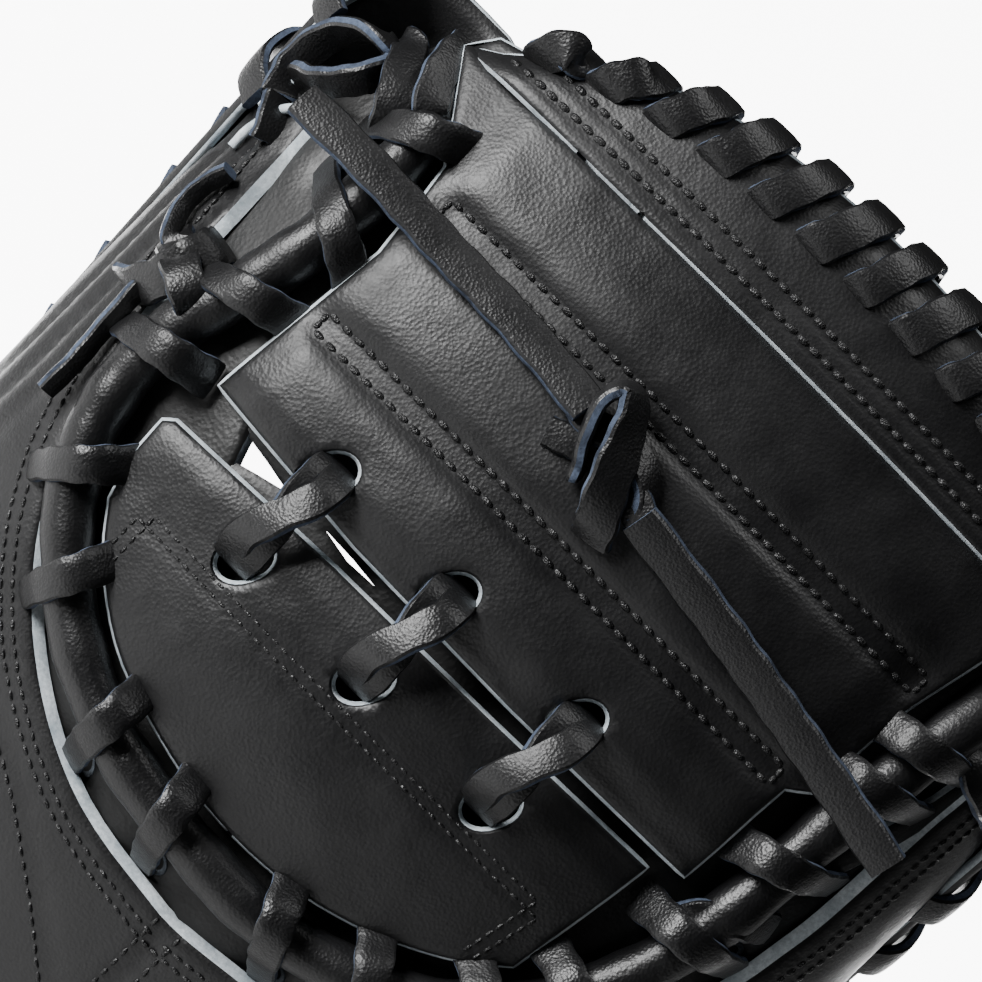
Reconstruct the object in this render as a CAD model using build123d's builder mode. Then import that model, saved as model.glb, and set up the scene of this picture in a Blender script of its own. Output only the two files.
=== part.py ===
from build123d import *
from math import asin, cos, pi, radians, sin, sqrt
import os

# A baseball catcher's mitt standing on its heel, in millimetres.
# +Z is up along the fold, the finger half is at -X, the thumb half at +X,
# the pocket opens towards +Y and the back of the hand faces -Y.
# The origin is the middle of the hand opening, level with the heel's flat cut, in the plane of the fold.

# ---- driving dimensions ----
half_width = 80.0  # side wall of the back, from the fold
crown_radius = 150.0  # the back's gentle cross curve
shoulder_radius = 40.0  # and its tighter curve down to the side wall
back_reach = 200.0  # the back's long curve, heel to web
bowl_centre_y = 140.0  # axis of the long curve
bowl_centre_z = 114.7
web_angle = 28.5  # where the web sits on the long curve, degrees above level

pocket_half_width = 75.0  # the palm side's bowl, measured at its lining
pocket_crown_radius = 170.0
pocket_shoulder_radius = 30.0
pocket_reach = 180.0
pocket_rise = 18.0  # its axis is higher, so the hand has room at the heel

shell_leather = 2.5
lining_leather = 1.5
palm_leather = 3.0
pad_felt = 10.0
gusset_leather = 2.0
web_leather = 2.2
lace_width = 6.0
lace_thick = 2.2
layer_gap = 0.3

roll_diameter = 8.0
shell_top = 22.0  # where the finger and thumb backs end, up from the web's centre
binding_width = 11.0
binding_leather = 1.5
heel_pad_height = 46.0
wrist_hole_half_width = 44.0
wrist_hole_height = 66.0
strap_width = 30.0
strap_low = 20.0
strap_thick = 2.4
strap_start = 60.0  # sewn end, on the thumb side
strap_end = -64.0
fleece_thick = 4.0
divider_leather = 1.6

fold_axis_y = -30.0
fold_range = 24.0  # degrees that the mitt closes
fold_gap = 0.15  # each side of the fold

main_low = -19.0  # web's wide panel, up the web from its centre
main_high = 58.0
moon_high = -24.0
tie_places = [(-30.0, "finger"), (-5.6, "finger"), (20.0, "thumb")]
tie_high = -14.8
tie_low = -32.0
tie_hole_length = 9.0
tie_hole_width = 7.4
binding_low = 43.5  # lower edge of the web's top binding
top_lace_pitch = 9.3
top_lace_count = 10
edge_lace_reach = 8.0
side_knot_depth = -13.4
pocket_panel_leather = 1.4
pocket_panel_inset = -23.0  # inside the backs' cut edge
pocket_panel_top = 42.0

rim_lace_first = 30.0
rim_lace_pitch = 16.5
rim_lace_count = 13
rim_binding_top = 243.0
wrap_shares = (0.02, 0.09, 0.163, 0.235, 0.305, 0.375, 0.45, 0.56, 0.625, 0.69, 0.75, 0.8, 0.855,
    0.905, 0.965)
patch_inner = 39.0
fleece_half = 27.0
loop_level = 96.0
loop_outer = 6.2
loop_out = 46.0
divider_places = (-54.0, -33.0, -12.0, 24.0)

os.makedirs("parts", exist_ok=True)
far = 400.0
mouth_y = 90.0  # just ahead of the pocket's rim
bowl_axis = Axis((0, bowl_centre_y, bowl_centre_z), (1, 0, 0))
back = (half_width, crown_radius, shoulder_radius, back_reach, 0.0)
palm = (pocket_half_width, pocket_crown_radius, pocket_shoulder_radius, pocket_reach, pocket_rise)

tilt = radians(web_angle)
web_origin = Vector(
    0,
    bowl_centre_y - back_reach * cos(tilt),
    bowl_centre_z + back_reach * sin(tilt),
)
web_normal = Vector(0, -cos(tilt), sin(tilt))
web_up = Vector(0, sin(tilt), cos(tilt))
web_plane = Plane(origin=web_origin, x_dir=(1, 0, 0), z_dir=web_normal)


# ---- the two bowls ----
def drop_at(bowl, x, depth):
    """How far a bowl's skin, moved in by depth, has dropped below its crown at x."""
    width, crown, shoulder, _, _ = bowl
    turn = asin((width - shoulder) / (crown - shoulder))
    joint = (crown - depth) * sin(turn)
    if abs(x) <= joint:
        return depth + (crown - depth) - sqrt((crown - depth) ** 2 - x * x)
    side = min(abs(x) - (crown - shoulder) * sin(turn), shoulder - depth)
    centre = crown - (crown - shoulder) * cos(turn)
    return centre - sqrt(max((shoulder - depth) ** 2 - side * side, 0))


def skin_point(x, up, depth):
    """The point of the back's skin, moved in by depth, seen at (x, up) on the web's plane."""
    reach = back_reach - drop_at(back, x, depth)
    height = sqrt(reach * reach - up * up) - back_reach
    return web_origin + Vector(x, 0, 0) + web_up * up + web_normal * height


def bowl_solid(bowl, depth, floor=60.0):
    """All that lies inside a bowl's skin, moved in by depth."""
    width, crown, shoulder, reach, rise = bowl
    turn = asin((width - shoulder) / (crown - shoulder))
    crown_mid = reach - crown
    joint = ((crown - depth) * sin(turn), crown_mid + (crown - depth) * cos(turn))
    side_x = (crown - shoulder) * sin(turn)
    side_z = crown_mid + (crown - shoulder) * cos(turn)
    bend = (turn + radians(90)) / 2
    mid = (side_x + (shoulder - depth) * sin(bend), side_z + (shoulder - depth) * cos(bend))
    wall = width - depth
    origin = (0, bowl_centre_y, bowl_centre_z + rise)
    with BuildPart() as inside:
        with BuildSketch(Plane(origin=origin, x_dir=(1, 0, 0), z_dir=(0, 0, -1))):
            with BuildLine():
                ThreePointArc((-joint[0], joint[1]), (0, reach - depth), joint)
                ThreePointArc(joint, mid, (wall, side_z))
                Polyline((wall, side_z), (wall, floor), (-wall, floor), (-wall, side_z))
                ThreePointArc((-wall, side_z), (-mid[0], mid[1]), (-joint[0], joint[1]))
            make_face()
        revolve(axis=Axis(origin, (1, 0, 0)))
    return inside.part


def layer(bowl, outer, inner):
    """A sheet of even thickness that follows a bowl."""
    with BuildPart() as sheet:
        add(bowl_solid(bowl, outer))
        add(bowl_solid(bowl, inner, 45.0), mode=Mode.SUBTRACT)
    return sheet.part


# ---- outlines that trim the bowls ----
rim_points = [(48, 0), (44, 40), (28, 90), (17, 150), (15, 200), (17, 235), (17, 275)]


def rim_outline(grow):
    """All that lies behind the rim, seen from the side, moved out by grow."""
    with BuildPart() as block:
        with BuildSketch(Plane.YZ):
            with BuildLine():
                line = Spline([(y + grow, z) for y, z in rim_points])
                Polyline(line @ 1, (-150, 275), (-150, 0), line @ 0)
            make_face()
        extrude(amount=far, both=True)
    return block.part


def crown_outline(grow):
    """The rounded top of the mitt, seen along the web's normal, moved out by grow."""
    with BuildPart() as block:
        with BuildSketch(web_plane):
            with BuildLine():
                top = ThreePointArc((-57, 50.5), (4, 66.5), (60, 51))
                Line(top @ 1, (66, 46))
                right = ThreePointArc((66, 46), (76, 26), (81, 2))
                Polyline(right @ 1, (90, -40), (90, -far), (-90, -far), (-90, -40), (-81, 2))
                left = ThreePointArc((-81, 2), (-75, 26), (-64, 46))
                Line(left @ 1, top @ 0)
            make_face()
            if grow:
                offset(amount=grow, kind=Kind.INTERSECTION, mode=Mode.REPLACE)
        extrude(amount=far, both=True)
    return block.part


def half_outline(side):
    """The half of space on one side of the fold, with room in front for the fold to close."""
    way = -1 if side == "finger" else 1
    lean = sin(radians(fold_range / 2)) / cos(radians(fold_range / 2))
    reach = 150.0
    with BuildPart() as block:
        with BuildSketch(Plane.XY):
            Polygon(
                (way * fold_gap, -reach),
                (way * fold_gap, fold_axis_y),
                (way * (fold_gap + lean * reach), fold_axis_y + reach),
                (way * far, fold_axis_y + reach),
                (way * far, -reach),
                align=None,
            )
        extrude(amount=far)
    return block.part


def shell_throat(grow):
    """The U in the backs that the web shows through, grown outwards."""
    with BuildPart() as block:
        with BuildSketch(web_plane):
            with BuildLine():
                left = ThreePointArc((-69 - grow, 0), (-66 - grow, -38), (-44 - grow, -65 - grow))
                low = ThreePointArc(left @ 1, (0, -79 - grow), (44 + grow, -65 - grow))
                right = ThreePointArc(low @ 1, (66 + grow, -38), (69 + grow, 0))
                Polyline(right @ 1, (73 + grow, 120), (-73 - grow, 120), left @ 0)
            make_face()
        extrude(amount=60, both=True)
    return block.part


def up_range(low, high):
    """A slab across the web's plane between two heights."""
    with BuildPart() as block:
        with BuildSketch(web_plane):
            with Locations((0, (low + high) / 2)):
                Rectangle(far, high - low)
        extrude(amount=far, both=True)
    return block.part


def level_range(low, high, left=-far, right=far):
    """A level slab between two heights above the floor, from left to right, behind the mouth."""
    with BuildPart() as block:
        with BuildSketch(Plane.XY.offset(low)):
            with Locations(((left + right) / 2, mouth_y - far / 2)):
                Rectangle(right - left, far)
        extrude(amount=high - low)
    return block.part


def trimmed(sheet, *keeps, cuts=()):
    """A sheet kept inside every keep and outside every cut."""
    with BuildPart() as piece:
        add(sheet)
        for keep in keeps:
            add(keep, mode=Mode.INTERSECT)
        for cut in cuts:
            add(cut, mode=Mode.SUBTRACT)
    return piece.part


def write(part, name):
    part.label = name
    export_step(part, f"parts/{name}.step")


rim = rim_outline(0)
crown = crown_outline(0)
throat = shell_throat(0)
sides = {side: half_outline(side) for side in ("finger", "thumb")}
above_heel = level_range(0, far)

# ---- wrist opening in the backs ----
with BuildPart() as wrist_hole:
    with BuildSketch(Plane.XZ):
        Ellipse(wrist_hole_half_width, wrist_hole_height)
    extrude(amount=150)

# ---- backs of the hand: one leather shell and one lining for each half ----
shell_sheet = trimmed(
    layer(back, 0, shell_leather), rim, crown, up_range(-far, shell_top), above_heel,
    cuts=(throat, wrist_hole.part),
)
lining_top = shell_leather + layer_gap
with BuildPart() as lining_hole:
    with BuildSketch(Plane.XZ):
        Ellipse(wrist_hole_half_width + 4, wrist_hole_height + 4)
    extrude(amount=150)
back_lining_sheet = trimmed(
    layer(back, lining_top, lining_top + lining_leather),
    rim_outline(-3), crown_outline(-3), up_range(-far, shell_top - 4), above_heel,
    cuts=(shell_throat(18), lining_hole.part),
)

# ---- palm side: leather, felt pad and lining ----
lining_back = 0.0
lining_front = lining_back + lining_leather
pad_back = lining_front + layer_gap
pad_front = pad_back + pad_felt
leather_back = pad_front + layer_gap
leather_front = leather_back + palm_leather
palm_throat = shell_throat(-9)
palm_sheet = trimmed(layer(palm, leather_back, leather_front), rim, crown, above_heel, cuts=(palm_throat,))
pad_sheet = trimmed(
    layer(palm, pad_back, pad_front),
    rim_outline(-3), crown_outline(-3), level_range(heel_pad_height, far), cuts=(shell_throat(12),),
)
heel_sheet = trimmed(
    layer(palm, pad_back, pad_front), rim_outline(-3), level_range(3, heel_pad_height - layer_gap),
)
palm_lining_sheet = trimmed(
    layer(palm, lining_back, lining_front), rim_outline(-3), crown_outline(-3), level_range(3, far),
    cuts=(shell_throat(12),),
)

# ---- gusset: the leather that the web's rolled edge lies on ----
gusset_back = lining_top + 0.2
gusset_sheet = trimmed(
    layer(back, gusset_back, gusset_back + gusset_leather),
    rim, crown_outline(-1), shell_throat(14),
    cuts=(shell_throat(-22), trimmed(shell_throat(-8), up_range(40, far))),
)

# ---- web: wide panel, half moon and top binding, all following the back's curve ----
with BuildPart() as main_prism:
    with BuildSketch(web_plane):
        with BuildLine():
            Polyline((-50.6, main_low + 1.5), (47.4, main_low), (48.4, 0), (52.0, 5), (53.0, 19),
                (59.0, main_high - 9))
            ThreePointArc((59.0, main_high - 9), (4, main_high + 5), (-58.0, main_high - 9))
            Polyline((-58.0, main_high - 9), (-60.5, 43), (-49.6, 29), (-47.6, 14), (-50.6, main_low + 1.5))
        make_face()
        with Locations([(x, tie_high) for x, _ in tie_places]):
            SlotOverall(tie_hole_length, tie_hole_width, rotation=60, mode=Mode.SUBTRACT)
    extrude(amount=60, both=True)

with BuildPart() as wedge_prism:
    with BuildSketch(web_plane):
        with BuildLine():
            Polyline((-44.0, -19.0), (-33.0, -20.8), (-43.0, -24.0), close=True)
        make_face()
    extrude(amount=60, both=True)

with BuildPart() as moon_prism:
    with BuildSketch(web_plane):
        with BuildLine():
            Line((-53.0, moon_high - 1), (43.0, moon_high + 1))
            Line((43.0, moon_high + 1), (38.4, -45.8))
            ThreePointArc((38.4, -45.8), (21.5, -56.2), (3, -60.4))
            ThreePointArc((3, -60.4), (-29, -54.6), (-48.6, -39.5))
            Line((-48.6, -39.5), (-53.0, moon_high - 1))
        make_face()
        with Locations([(x, tie_low) for x, _ in tie_places]):
            SlotOverall(tie_hole_length, tie_hole_width, rotation=60, mode=Mode.SUBTRACT)
    extrude(amount=60, both=True)

web_back = -2.5
web_sheet = layer(back, web_back, web_back + web_leather)
pocket_panel_back = gusset_back + 0.1
main_sheet = trimmed(web_sheet, main_prism.part)
moon_sheet = trimmed(web_sheet, moon_prism.part)

# the web's second hide, on the pocket side, with the open wedge beside the first tie
pocket_panel_sheet = trimmed(
    layer(back, pocket_panel_back, pocket_panel_back + pocket_panel_leather),
    shell_throat(pocket_panel_inset), up_range(-far, pocket_panel_top),
    cuts=(wedge_prism.part,),
)

edge_cover = 2.0
with BuildPart() as binding_prism:
    with BuildSketch(web_plane):
        with BuildLine():
            Line((-61.5, binding_low), (60, binding_low))
            Line((60, binding_low), (60, main_high - 7))
            ThreePointArc((60, main_high - 7), (4, main_high + 7), (-58, main_high - 7))
            Line((-58, main_high - 7), (-61.5, binding_low))
        make_face()
    extrude(amount=60, both=True)
binding_sheet = trimmed(
    layer(back, web_back - edge_cover - layer_gap, web_back + web_leather + edge_cover),
    binding_prism.part,
    cuts=(trimmed(layer(back, web_back - layer_gap / 2, web_back + web_leather + layer_gap / 2),
        main_prism.part),),
)


# ---- rim: a folded leather binding and the loops of lace over it ----
def rim_channel(clear, thick, reach_in):
    """A folded strip over the rim of every layer, thick and clear of what it covers."""
    full = clear + thick
    with BuildPart() as strip:
        add(bowl_solid(back, -full))
        add(rim_outline(full), mode=Mode.INTERSECT)
        add(crown_outline(full), mode=Mode.INTERSECT)
        add(bowl_solid(palm, leather_front + full, 45.0), mode=Mode.SUBTRACT)
        add(trimmed(rim_outline(-reach_in), crown_outline(-reach_in)), mode=Mode.SUBTRACT)
        add(covered_rim(clear), mode=Mode.SUBTRACT)
        add(shell_throat(-5), mode=Mode.SUBTRACT)
    return strip.part


def covered_rim(clear):
    """What the binding covers: all the layers at the rim and the room between them."""
    with BuildPart() as core:
        add(bowl_solid(back, -clear))
        add(rim_outline(clear), mode=Mode.INTERSECT)
        add(crown_outline(clear), mode=Mode.INTERSECT)
        add(bowl_solid(palm, leather_front + clear, 45.0), mode=Mode.SUBTRACT)
    return core.part


rim_binding = trimmed(rim_channel(0.2, binding_leather, binding_width), level_range(12, rim_binding_top))
loop_channel = rim_channel(0.4 + binding_leather, lace_thick - 0.4, binding_width - 3)
with BuildPart() as rim_slabs:
    with BuildSketch(Plane.YZ):
        with Locations([(0, rim_lace_first + i * rim_lace_pitch) for i in range(rim_lace_count)]):
            Rectangle(far, lace_width)
    extrude(amount=far, both=True)
rim_lacing = trimmed(loop_channel, rim_slabs.part)

# ---- rolled leather edge around the web, and the lace wrapped over it ----
roll_radius = roll_diameter / 2
wrap_inner = roll_radius + 0.15
wrap_outer = wrap_inner + 1.6
roll_depth = gusset_back - layer_gap - wrap_outer
roll_points = [
    (-55.5, 27), (-55.5, 9), (-58, -4), (-61.5, -18), (-60.5, -32), (-54, -45), (-41, -57),
    (-24, -64.6), (-6, -67.3), (11, -67.3), (30, -61.5), (43.5, -51), (52, -36), (56, -18), (57.5, 2),
    (61, 24),
]


def corner_radii(points):
    """The largest arc that each corner of a route has room for."""
    radii = []
    for before, corner, after in zip(points, points[1:], points[2:]):
        first, second = corner - before, after - corner
        half_turn = radians(first.get_angle(second)) / 2
        radii.append(0.45 * min(first.length, second.length) / (sin(half_turn) / cos(half_turn)))
    return radii


roll_route = [skin_point(x, up, roll_depth) for x, up in roll_points]
with BuildPart() as roll:
    with BuildLine() as roll_line:
        FilletPolyline(*roll_route, radius=corner_radii(roll_route))
    with BuildSketch(Plane(origin=roll_line.line @ 0, z_dir=roll_line.line % 0)):
        Circle(roll_radius)
    sweep()

with BuildPart() as roll_wraps:
    for share in wrap_shares:
        with BuildSketch(Plane(origin=roll_line.line @ share, z_dir=roll_line.line % share)):
            Circle(wrap_outer)
            Circle(wrap_inner, mode=Mode.SUBTRACT)
        extrude(amount=lace_width / 2, both=True)

# ---- ties between the wide panel and the half moon ----
tie_span = tie_high - tie_low
tie_clear = web_leather + 1.2


def web_tie(x):
    """One closed turn of lace through a pair of holes."""
    low = skin_point(x, tie_low, web_back + web_leather / 2)
    high = skin_point(x, tie_high, web_back + web_leather / 2)
    middle = (low + high) / 2
    with BuildPart() as tie:
        with BuildSketch(Plane(origin=middle, x_dir=high - low, z_dir=(1, 0, 0))):
            RectangleRounded(tie_span + lace_thick, tie_clear + 2 * lace_thick, lace_thick)
            RectangleRounded(tie_span - lace_thick, tie_clear, lace_thick / 2, mode=Mode.SUBTRACT)
        extrude(amount=lace_width / 2 - 0.5, both=True)
    return tie.part


# ---- spiral lace over the web's free edge ----
binding_face = web_back - edge_cover - layer_gap
binding_front = web_back + web_leather + edge_cover


def under_edge(grow):
    """All that lies below the web's free edge, seen along its normal, moved out by grow."""
    side_high = main_high - 9 + grow
    with BuildPart() as block:
        with BuildSketch(web_plane):
            with BuildLine():
                Polyline((-64, side_high), (-64, 0), (66, 0), (66, side_high))
                ThreePointArc((66, side_high), (4, main_high + 7.5 + grow), (-64, side_high))
            make_face()
        extrude(amount=60, both=True)
    return block.part


with BuildPart() as top_slabs:
    with BuildSketch(web_plane):
        for way in (-1, 1):
            for i in range(top_lace_count // 2):
                with Locations((way * (1.5 + i) * top_lace_pitch, main_high)):
                    Rectangle(lace_width - 1, far / 8, rotation=-22)
    extrude(amount=60, both=True)
top_lacing = trimmed(
    layer(back, binding_face - 0.2 - lace_thick, binding_front + 0.2 + lace_thick),
    under_edge(lace_thick + 0.3), top_slabs.part,
    cuts=(
        trimmed(layer(back, binding_face - 0.2, binding_front + 0.2), under_edge(0.3)),
        under_edge(-edge_lace_reach),
    ),
)

# ---- wrist strap with hook and loop, and its fleece ----
patch_face = -1.5
strap_face = patch_face - layer_gap
wrist_strap = trimmed(
    layer(back, strap_face - strap_thick, strap_face),
    level_range(strap_low, strap_low + strap_width, strap_end, strap_start),
)
strap_patch = trimmed(
    layer(back, patch_face, -0.1),
    level_range(strap_low + 3, strap_low + strap_width - 3, strap_end + 2, -patch_inner),
    cuts=(wrist_hole.part,),
)
wrist_fleece = trimmed(
    layer(back, strap_face + 0.2, strap_face + 0.2 + fleece_thick),
    level_range(strap_low + 2, strap_low + strap_width - 2, -fleece_half, fleece_half),
)

# ---- inside the hand: finger dividers and the lace loops for little finger and thumb ----
cavity = trimmed(
    bowl_solid(back, lining_top + lining_leather + layer_gap),
    rim_outline(-8), crown_outline(-8), level_range(96, 178),
    cuts=(bowl_solid(palm, -layer_gap, 45.0), shell_throat(16)),
)
with BuildPart() as divider_slabs:
    with BuildSketch(Plane.XZ):
        with Locations([(x, 137) for x in divider_places]):
            Rectangle(divider_leather, far)
    extrude(amount=far, both=True)
stall_dividers = trimmed(cavity, divider_slabs.part)


def cavity_middle(x, level):
    """The middle of the hand's room at x and a height above the floor."""
    outer = back_reach - drop_at(back, x, lining_top + lining_leather)
    inner = pocket_reach - drop_at(palm, x, 0)
    rise = level - bowl_centre_z
    behind = sqrt(outer * outer - rise * rise)
    ahead = sqrt(inner * inner - (rise - pocket_rise) ** 2)
    return Vector(x, bowl_centre_y - (behind + ahead) / 2, level)


def finger_loop(x):
    """A ring of flat lace that a finger passes through upwards."""
    with BuildPart() as loop:
        with BuildSketch(Plane(origin=cavity_middle(x, loop_level), x_dir=(1, 0, 0), z_dir=(0, 0, 1))):
            Circle(loop_outer)
            Circle(loop_outer - 1.6, mode=Mode.SUBTRACT)
        extrude(amount=lace_width / 2, both=True)
    return loop.part


# ---- knots and the loose tails of lace over the web ----
def flat_knot(x, up, depth, ring):
    """A pulled-down turn of lace lying on the leather."""
    spot = skin_point(x, up, depth)
    with BuildPart() as knot:
        with BuildSketch(Plane(origin=spot, x_dir=(1, 0, 0), z_dir=web_normal)):
            Circle(ring + lace_thick)
            Circle(ring - lace_thick, mode=Mode.SUBTRACT)
        extrude(amount=lace_thick, both=True)
    return knot.part


tail_radius = 2.4


def tail_tube(points):
    """A loose end of lace along a chosen route."""
    route = [skin_point(x, up, 0) + web_normal * lift for x, up, lift in points]
    radii = corner_radii(route)
    with BuildPart() as tube:
        with BuildLine() as line:
            FilletPolyline(*route, radius=radii)
        with BuildSketch(Plane(origin=line.line @ 0, z_dir=line.line % 0)):
            Circle(tail_radius)
        sweep()
    length = sum(edge.length for edge in line.edges())
    share = tube.part.volume / (length * pi * tail_radius**2)
    print(f"tail {length:.1f} mm, arcs {[round(r) for r in radii]} mm, volume share {share:.4f}")
    return tube.part


# x, height on the web and how far each point stands off the back's skin
upper_tail = [(-10.4, 18.0, 7.4), (-24, 19.6, 6.4), (-41, 19.8, 7.4), (-57, 20.8, 12.5), (-71, 20.6, 21.0)]
lower_tail = [(5.5, 12.0, 7.4), (20, 10.2, 6.6), (36, 7.6, 7.2), (52, 4.9, 10.5), (66, 2.2, 18.5)]

for name, sheet in (
    ("back_shell", shell_sheet),
    ("back_lining", back_lining_sheet),
    ("palm_leather", palm_sheet),
    ("palm_pad", pad_sheet),
    ("heel_pad", heel_sheet),
    ("palm_lining", palm_lining_sheet),
    ("web_gusset", gusset_sheet),
    ("web_pocket_panel", pocket_panel_sheet),
    ("web_panel", main_sheet),
    ("web_half_moon", moon_sheet),
    ("web_binding", binding_sheet),
    ("web_edge_lacing", top_lacing),
    ("rim_binding", rim_binding),
    ("rim_lacing", rim_lacing),
    ("web_roll", roll.part),
    ("web_roll_wraps", roll_wraps.part),
    ("stall_dividers", stall_dividers),
):
    for side, outline in sides.items():
        piece = trimmed(sheet, outline)
        write(piece, f"{side}_{name}")

for number, (x, side) in enumerate(tie_places, 1):
    write(web_tie(x), f"web_tie_{number}")
write(wrist_strap, "wrist_strap")
write(strap_patch, "strap_patch")
write(wrist_fleece, "wrist_fleece")
write(finger_loop(-loop_out), "little_finger_loop")
write(finger_loop(loop_out), "thumb_loop")
write(flat_knot(-2.5, 15.0, web_back - 3 * layer_gap - lace_thick, 5.0), "web_knot")
write(flat_knot(-68.0, -10.0, side_knot_depth, 4.0), "side_knot")
write(tail_tube(upper_tail), "web_lace_upper_tail")
write(tail_tube(lower_tail), "web_lace_lower_tail")
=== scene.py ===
import math
import bpy
import numpy as np
from mathutils import Matrix, Vector, noise
from mathutils.geometry import delaunay_2d_cdt


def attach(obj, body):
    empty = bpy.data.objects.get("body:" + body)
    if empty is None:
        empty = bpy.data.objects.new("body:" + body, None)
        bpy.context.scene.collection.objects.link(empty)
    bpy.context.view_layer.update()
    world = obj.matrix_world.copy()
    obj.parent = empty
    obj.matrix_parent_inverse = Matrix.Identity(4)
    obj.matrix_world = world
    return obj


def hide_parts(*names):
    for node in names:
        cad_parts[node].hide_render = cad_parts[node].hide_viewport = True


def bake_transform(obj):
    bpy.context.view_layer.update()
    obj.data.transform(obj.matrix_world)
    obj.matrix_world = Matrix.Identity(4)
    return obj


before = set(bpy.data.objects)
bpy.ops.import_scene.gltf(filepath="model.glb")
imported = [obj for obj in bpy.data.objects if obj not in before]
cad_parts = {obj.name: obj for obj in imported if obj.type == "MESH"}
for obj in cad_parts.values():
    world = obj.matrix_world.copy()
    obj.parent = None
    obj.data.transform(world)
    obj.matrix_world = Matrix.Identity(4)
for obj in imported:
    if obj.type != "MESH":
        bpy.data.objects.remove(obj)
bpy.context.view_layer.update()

# ---------------------------------------------------------------------------
# Camera: level with the web's face, rolled so that the web's free edge points
# up and to the right. A long lens, because the web fills the frame.
# ---------------------------------------------------------------------------
WEB_ANGLE = math.radians(28.5)
BOWL_Y, BOWL_Z, REACH = 0.140, 0.1147, 0.200
WEB_NORMAL = Vector((0, -math.cos(WEB_ANGLE), math.sin(WEB_ANGLE)))
WEB_UP = Vector((0, math.sin(WEB_ANGLE), math.cos(WEB_ANGLE)))
ACROSS = Vector((1, 0, 0))
WEB_ORIGIN = Vector((0, BOWL_Y, BOWL_Z)) + WEB_NORMAL * REACH

camera = bpy.data.objects.new("camera", bpy.data.cameras.new("camera"))
bpy.context.scene.collection.objects.link(camera)
aim = WEB_ORIGIN + ACROSS * -0.012
right, up = (ACROSS + WEB_UP).normalized(), (WEB_UP - ACROSS).normalized()
distance = 0.60
FRAME_WIDTH = 0.1403  # what the picture takes in at the web
turn = Matrix((right, up, WEB_NORMAL)).transposed()
camera.matrix_world = Matrix.Translation(aim + WEB_NORMAL * distance) @ turn.to_4x4()
camera.data.sensor_width = 36
camera.data.lens = camera.data.sensor_width * distance / FRAME_WIDTH
camera.data.clip_start, camera.data.clip_end = 0.01, 20
bpy.context.scene.camera = camera

# ---------------------------------------------------------------------------
# Web, wide panel: one hide panel padded into three rolls by two rows of
# double stitching, cut raw all round, punched for three ties.
# ---------------------------------------------------------------------------
def linear(hex_colour):
    """An sRGB hex colour as the linear colour that shader sockets take."""
    channels = [int(hex_colour[i:i + 2], 16) / 255 for i in (1, 3, 5)]
    return [c / 12.92 if c <= 0.04045 else ((c + 0.055) / 1.055) ** 2.4 for c in channels] + [1]


def node(tree, kind, inputs=None, **settings):
    """Adds one node; inputs maps a socket's name or number to a value or to another node's output."""
    made = tree.nodes.new(kind)
    for key, value in settings.items():
        setattr(made, key, value)
    for key, value in (inputs or {}).items():
        if isinstance(value, bpy.types.NodeSocket):
            tree.links.new(value, made.inputs[key])
        else:
            made.inputs[key].default_value = value
    return made


def new_material(name):
    """A material with an empty principled shader, its tree and its place coordinates."""
    material = bpy.data.materials.new(name)
    material.use_nodes = True
    tree = material.node_tree
    shader = tree.nodes["Principled BSDF"]
    place = node(tree, "ShaderNodeTexCoord").outputs["Object"]
    return material, tree, shader, place


def leather(name, base, light, grain=0.55, grain_depth=0.07, rough=(0.38, 0.52), wrinkle=0.06):
    """Smooth hide: pebbled grain, its size in millimetres, faint creases, patches of more and less shine."""
    material, tree, shader, place = new_material(name)
    patches = node(
        tree, "ShaderNodeTexNoise", {"Vector": place, "Scale": 60.0, "Detail": 4.0, "Roughness": 0.6},
    )
    fine = node(
        tree, "ShaderNodeTexNoise", {"Vector": place, "Scale": 900.0, "Detail": 5.0, "Roughness": 0.65},
    )
    cells = node(
        tree, "ShaderNodeTexVoronoi", {"Vector": place, "Scale": 1000 / grain, "Smoothness": 0.35},
        feature="SMOOTH_F1",
    )
    creases = node(
        tree, "ShaderNodeTexNoise",
        {"Vector": place, "Scale": 160.0, "Detail": 6.0, "Roughness": 0.7, "Distortion": 0.8},
    )
    tint = node(
        tree, "ShaderNodeMix", {0: patches.outputs[0], 6: linear(base), 7: linear(light)}, data_type="RGBA",
    )
    shine = node(
        tree, "ShaderNodeMapRange",
        {"Value": patches.outputs[0], "From Min": 0.35, "From Max": 0.65, "To Min": rough[0],
         "To Max": rough[1]},
    )
    pores = node(tree, "ShaderNodeMath", {0: fine.outputs[0], 1: 0.16, 2: -0.08}, operation="MULTIPLY_ADD")
    total = node(tree, "ShaderNodeMath", {0: shine.outputs[0], 1: pores.outputs[0]}, operation="ADD")
    low = node(
        tree, "ShaderNodeBump", {"Strength": wrinkle, "Distance": 0.0012, "Height": creases.outputs[0]},
    )
    mid = node(
        tree, "ShaderNodeBump",
        {
            "Strength": grain_depth * 4, "Distance": 0.00018,
            "Height": cells.outputs["Distance"], "Normal": low.outputs[0],
        },
    )
    top = node(
        tree, "ShaderNodeBump",
        {"Strength": grain_depth * 3, "Distance": 0.00012, "Height": fine.outputs[0],
         "Normal": mid.outputs[0]},
    )
    tree.links.new(tint.outputs[2], shader.inputs["Base Color"])
    tree.links.new(total.outputs[0], shader.inputs["Roughness"])
    tree.links.new(top.outputs[0], shader.inputs["Normal"])
    shader.inputs["Specular IOR Level"].default_value = 0.42
    return material


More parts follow.
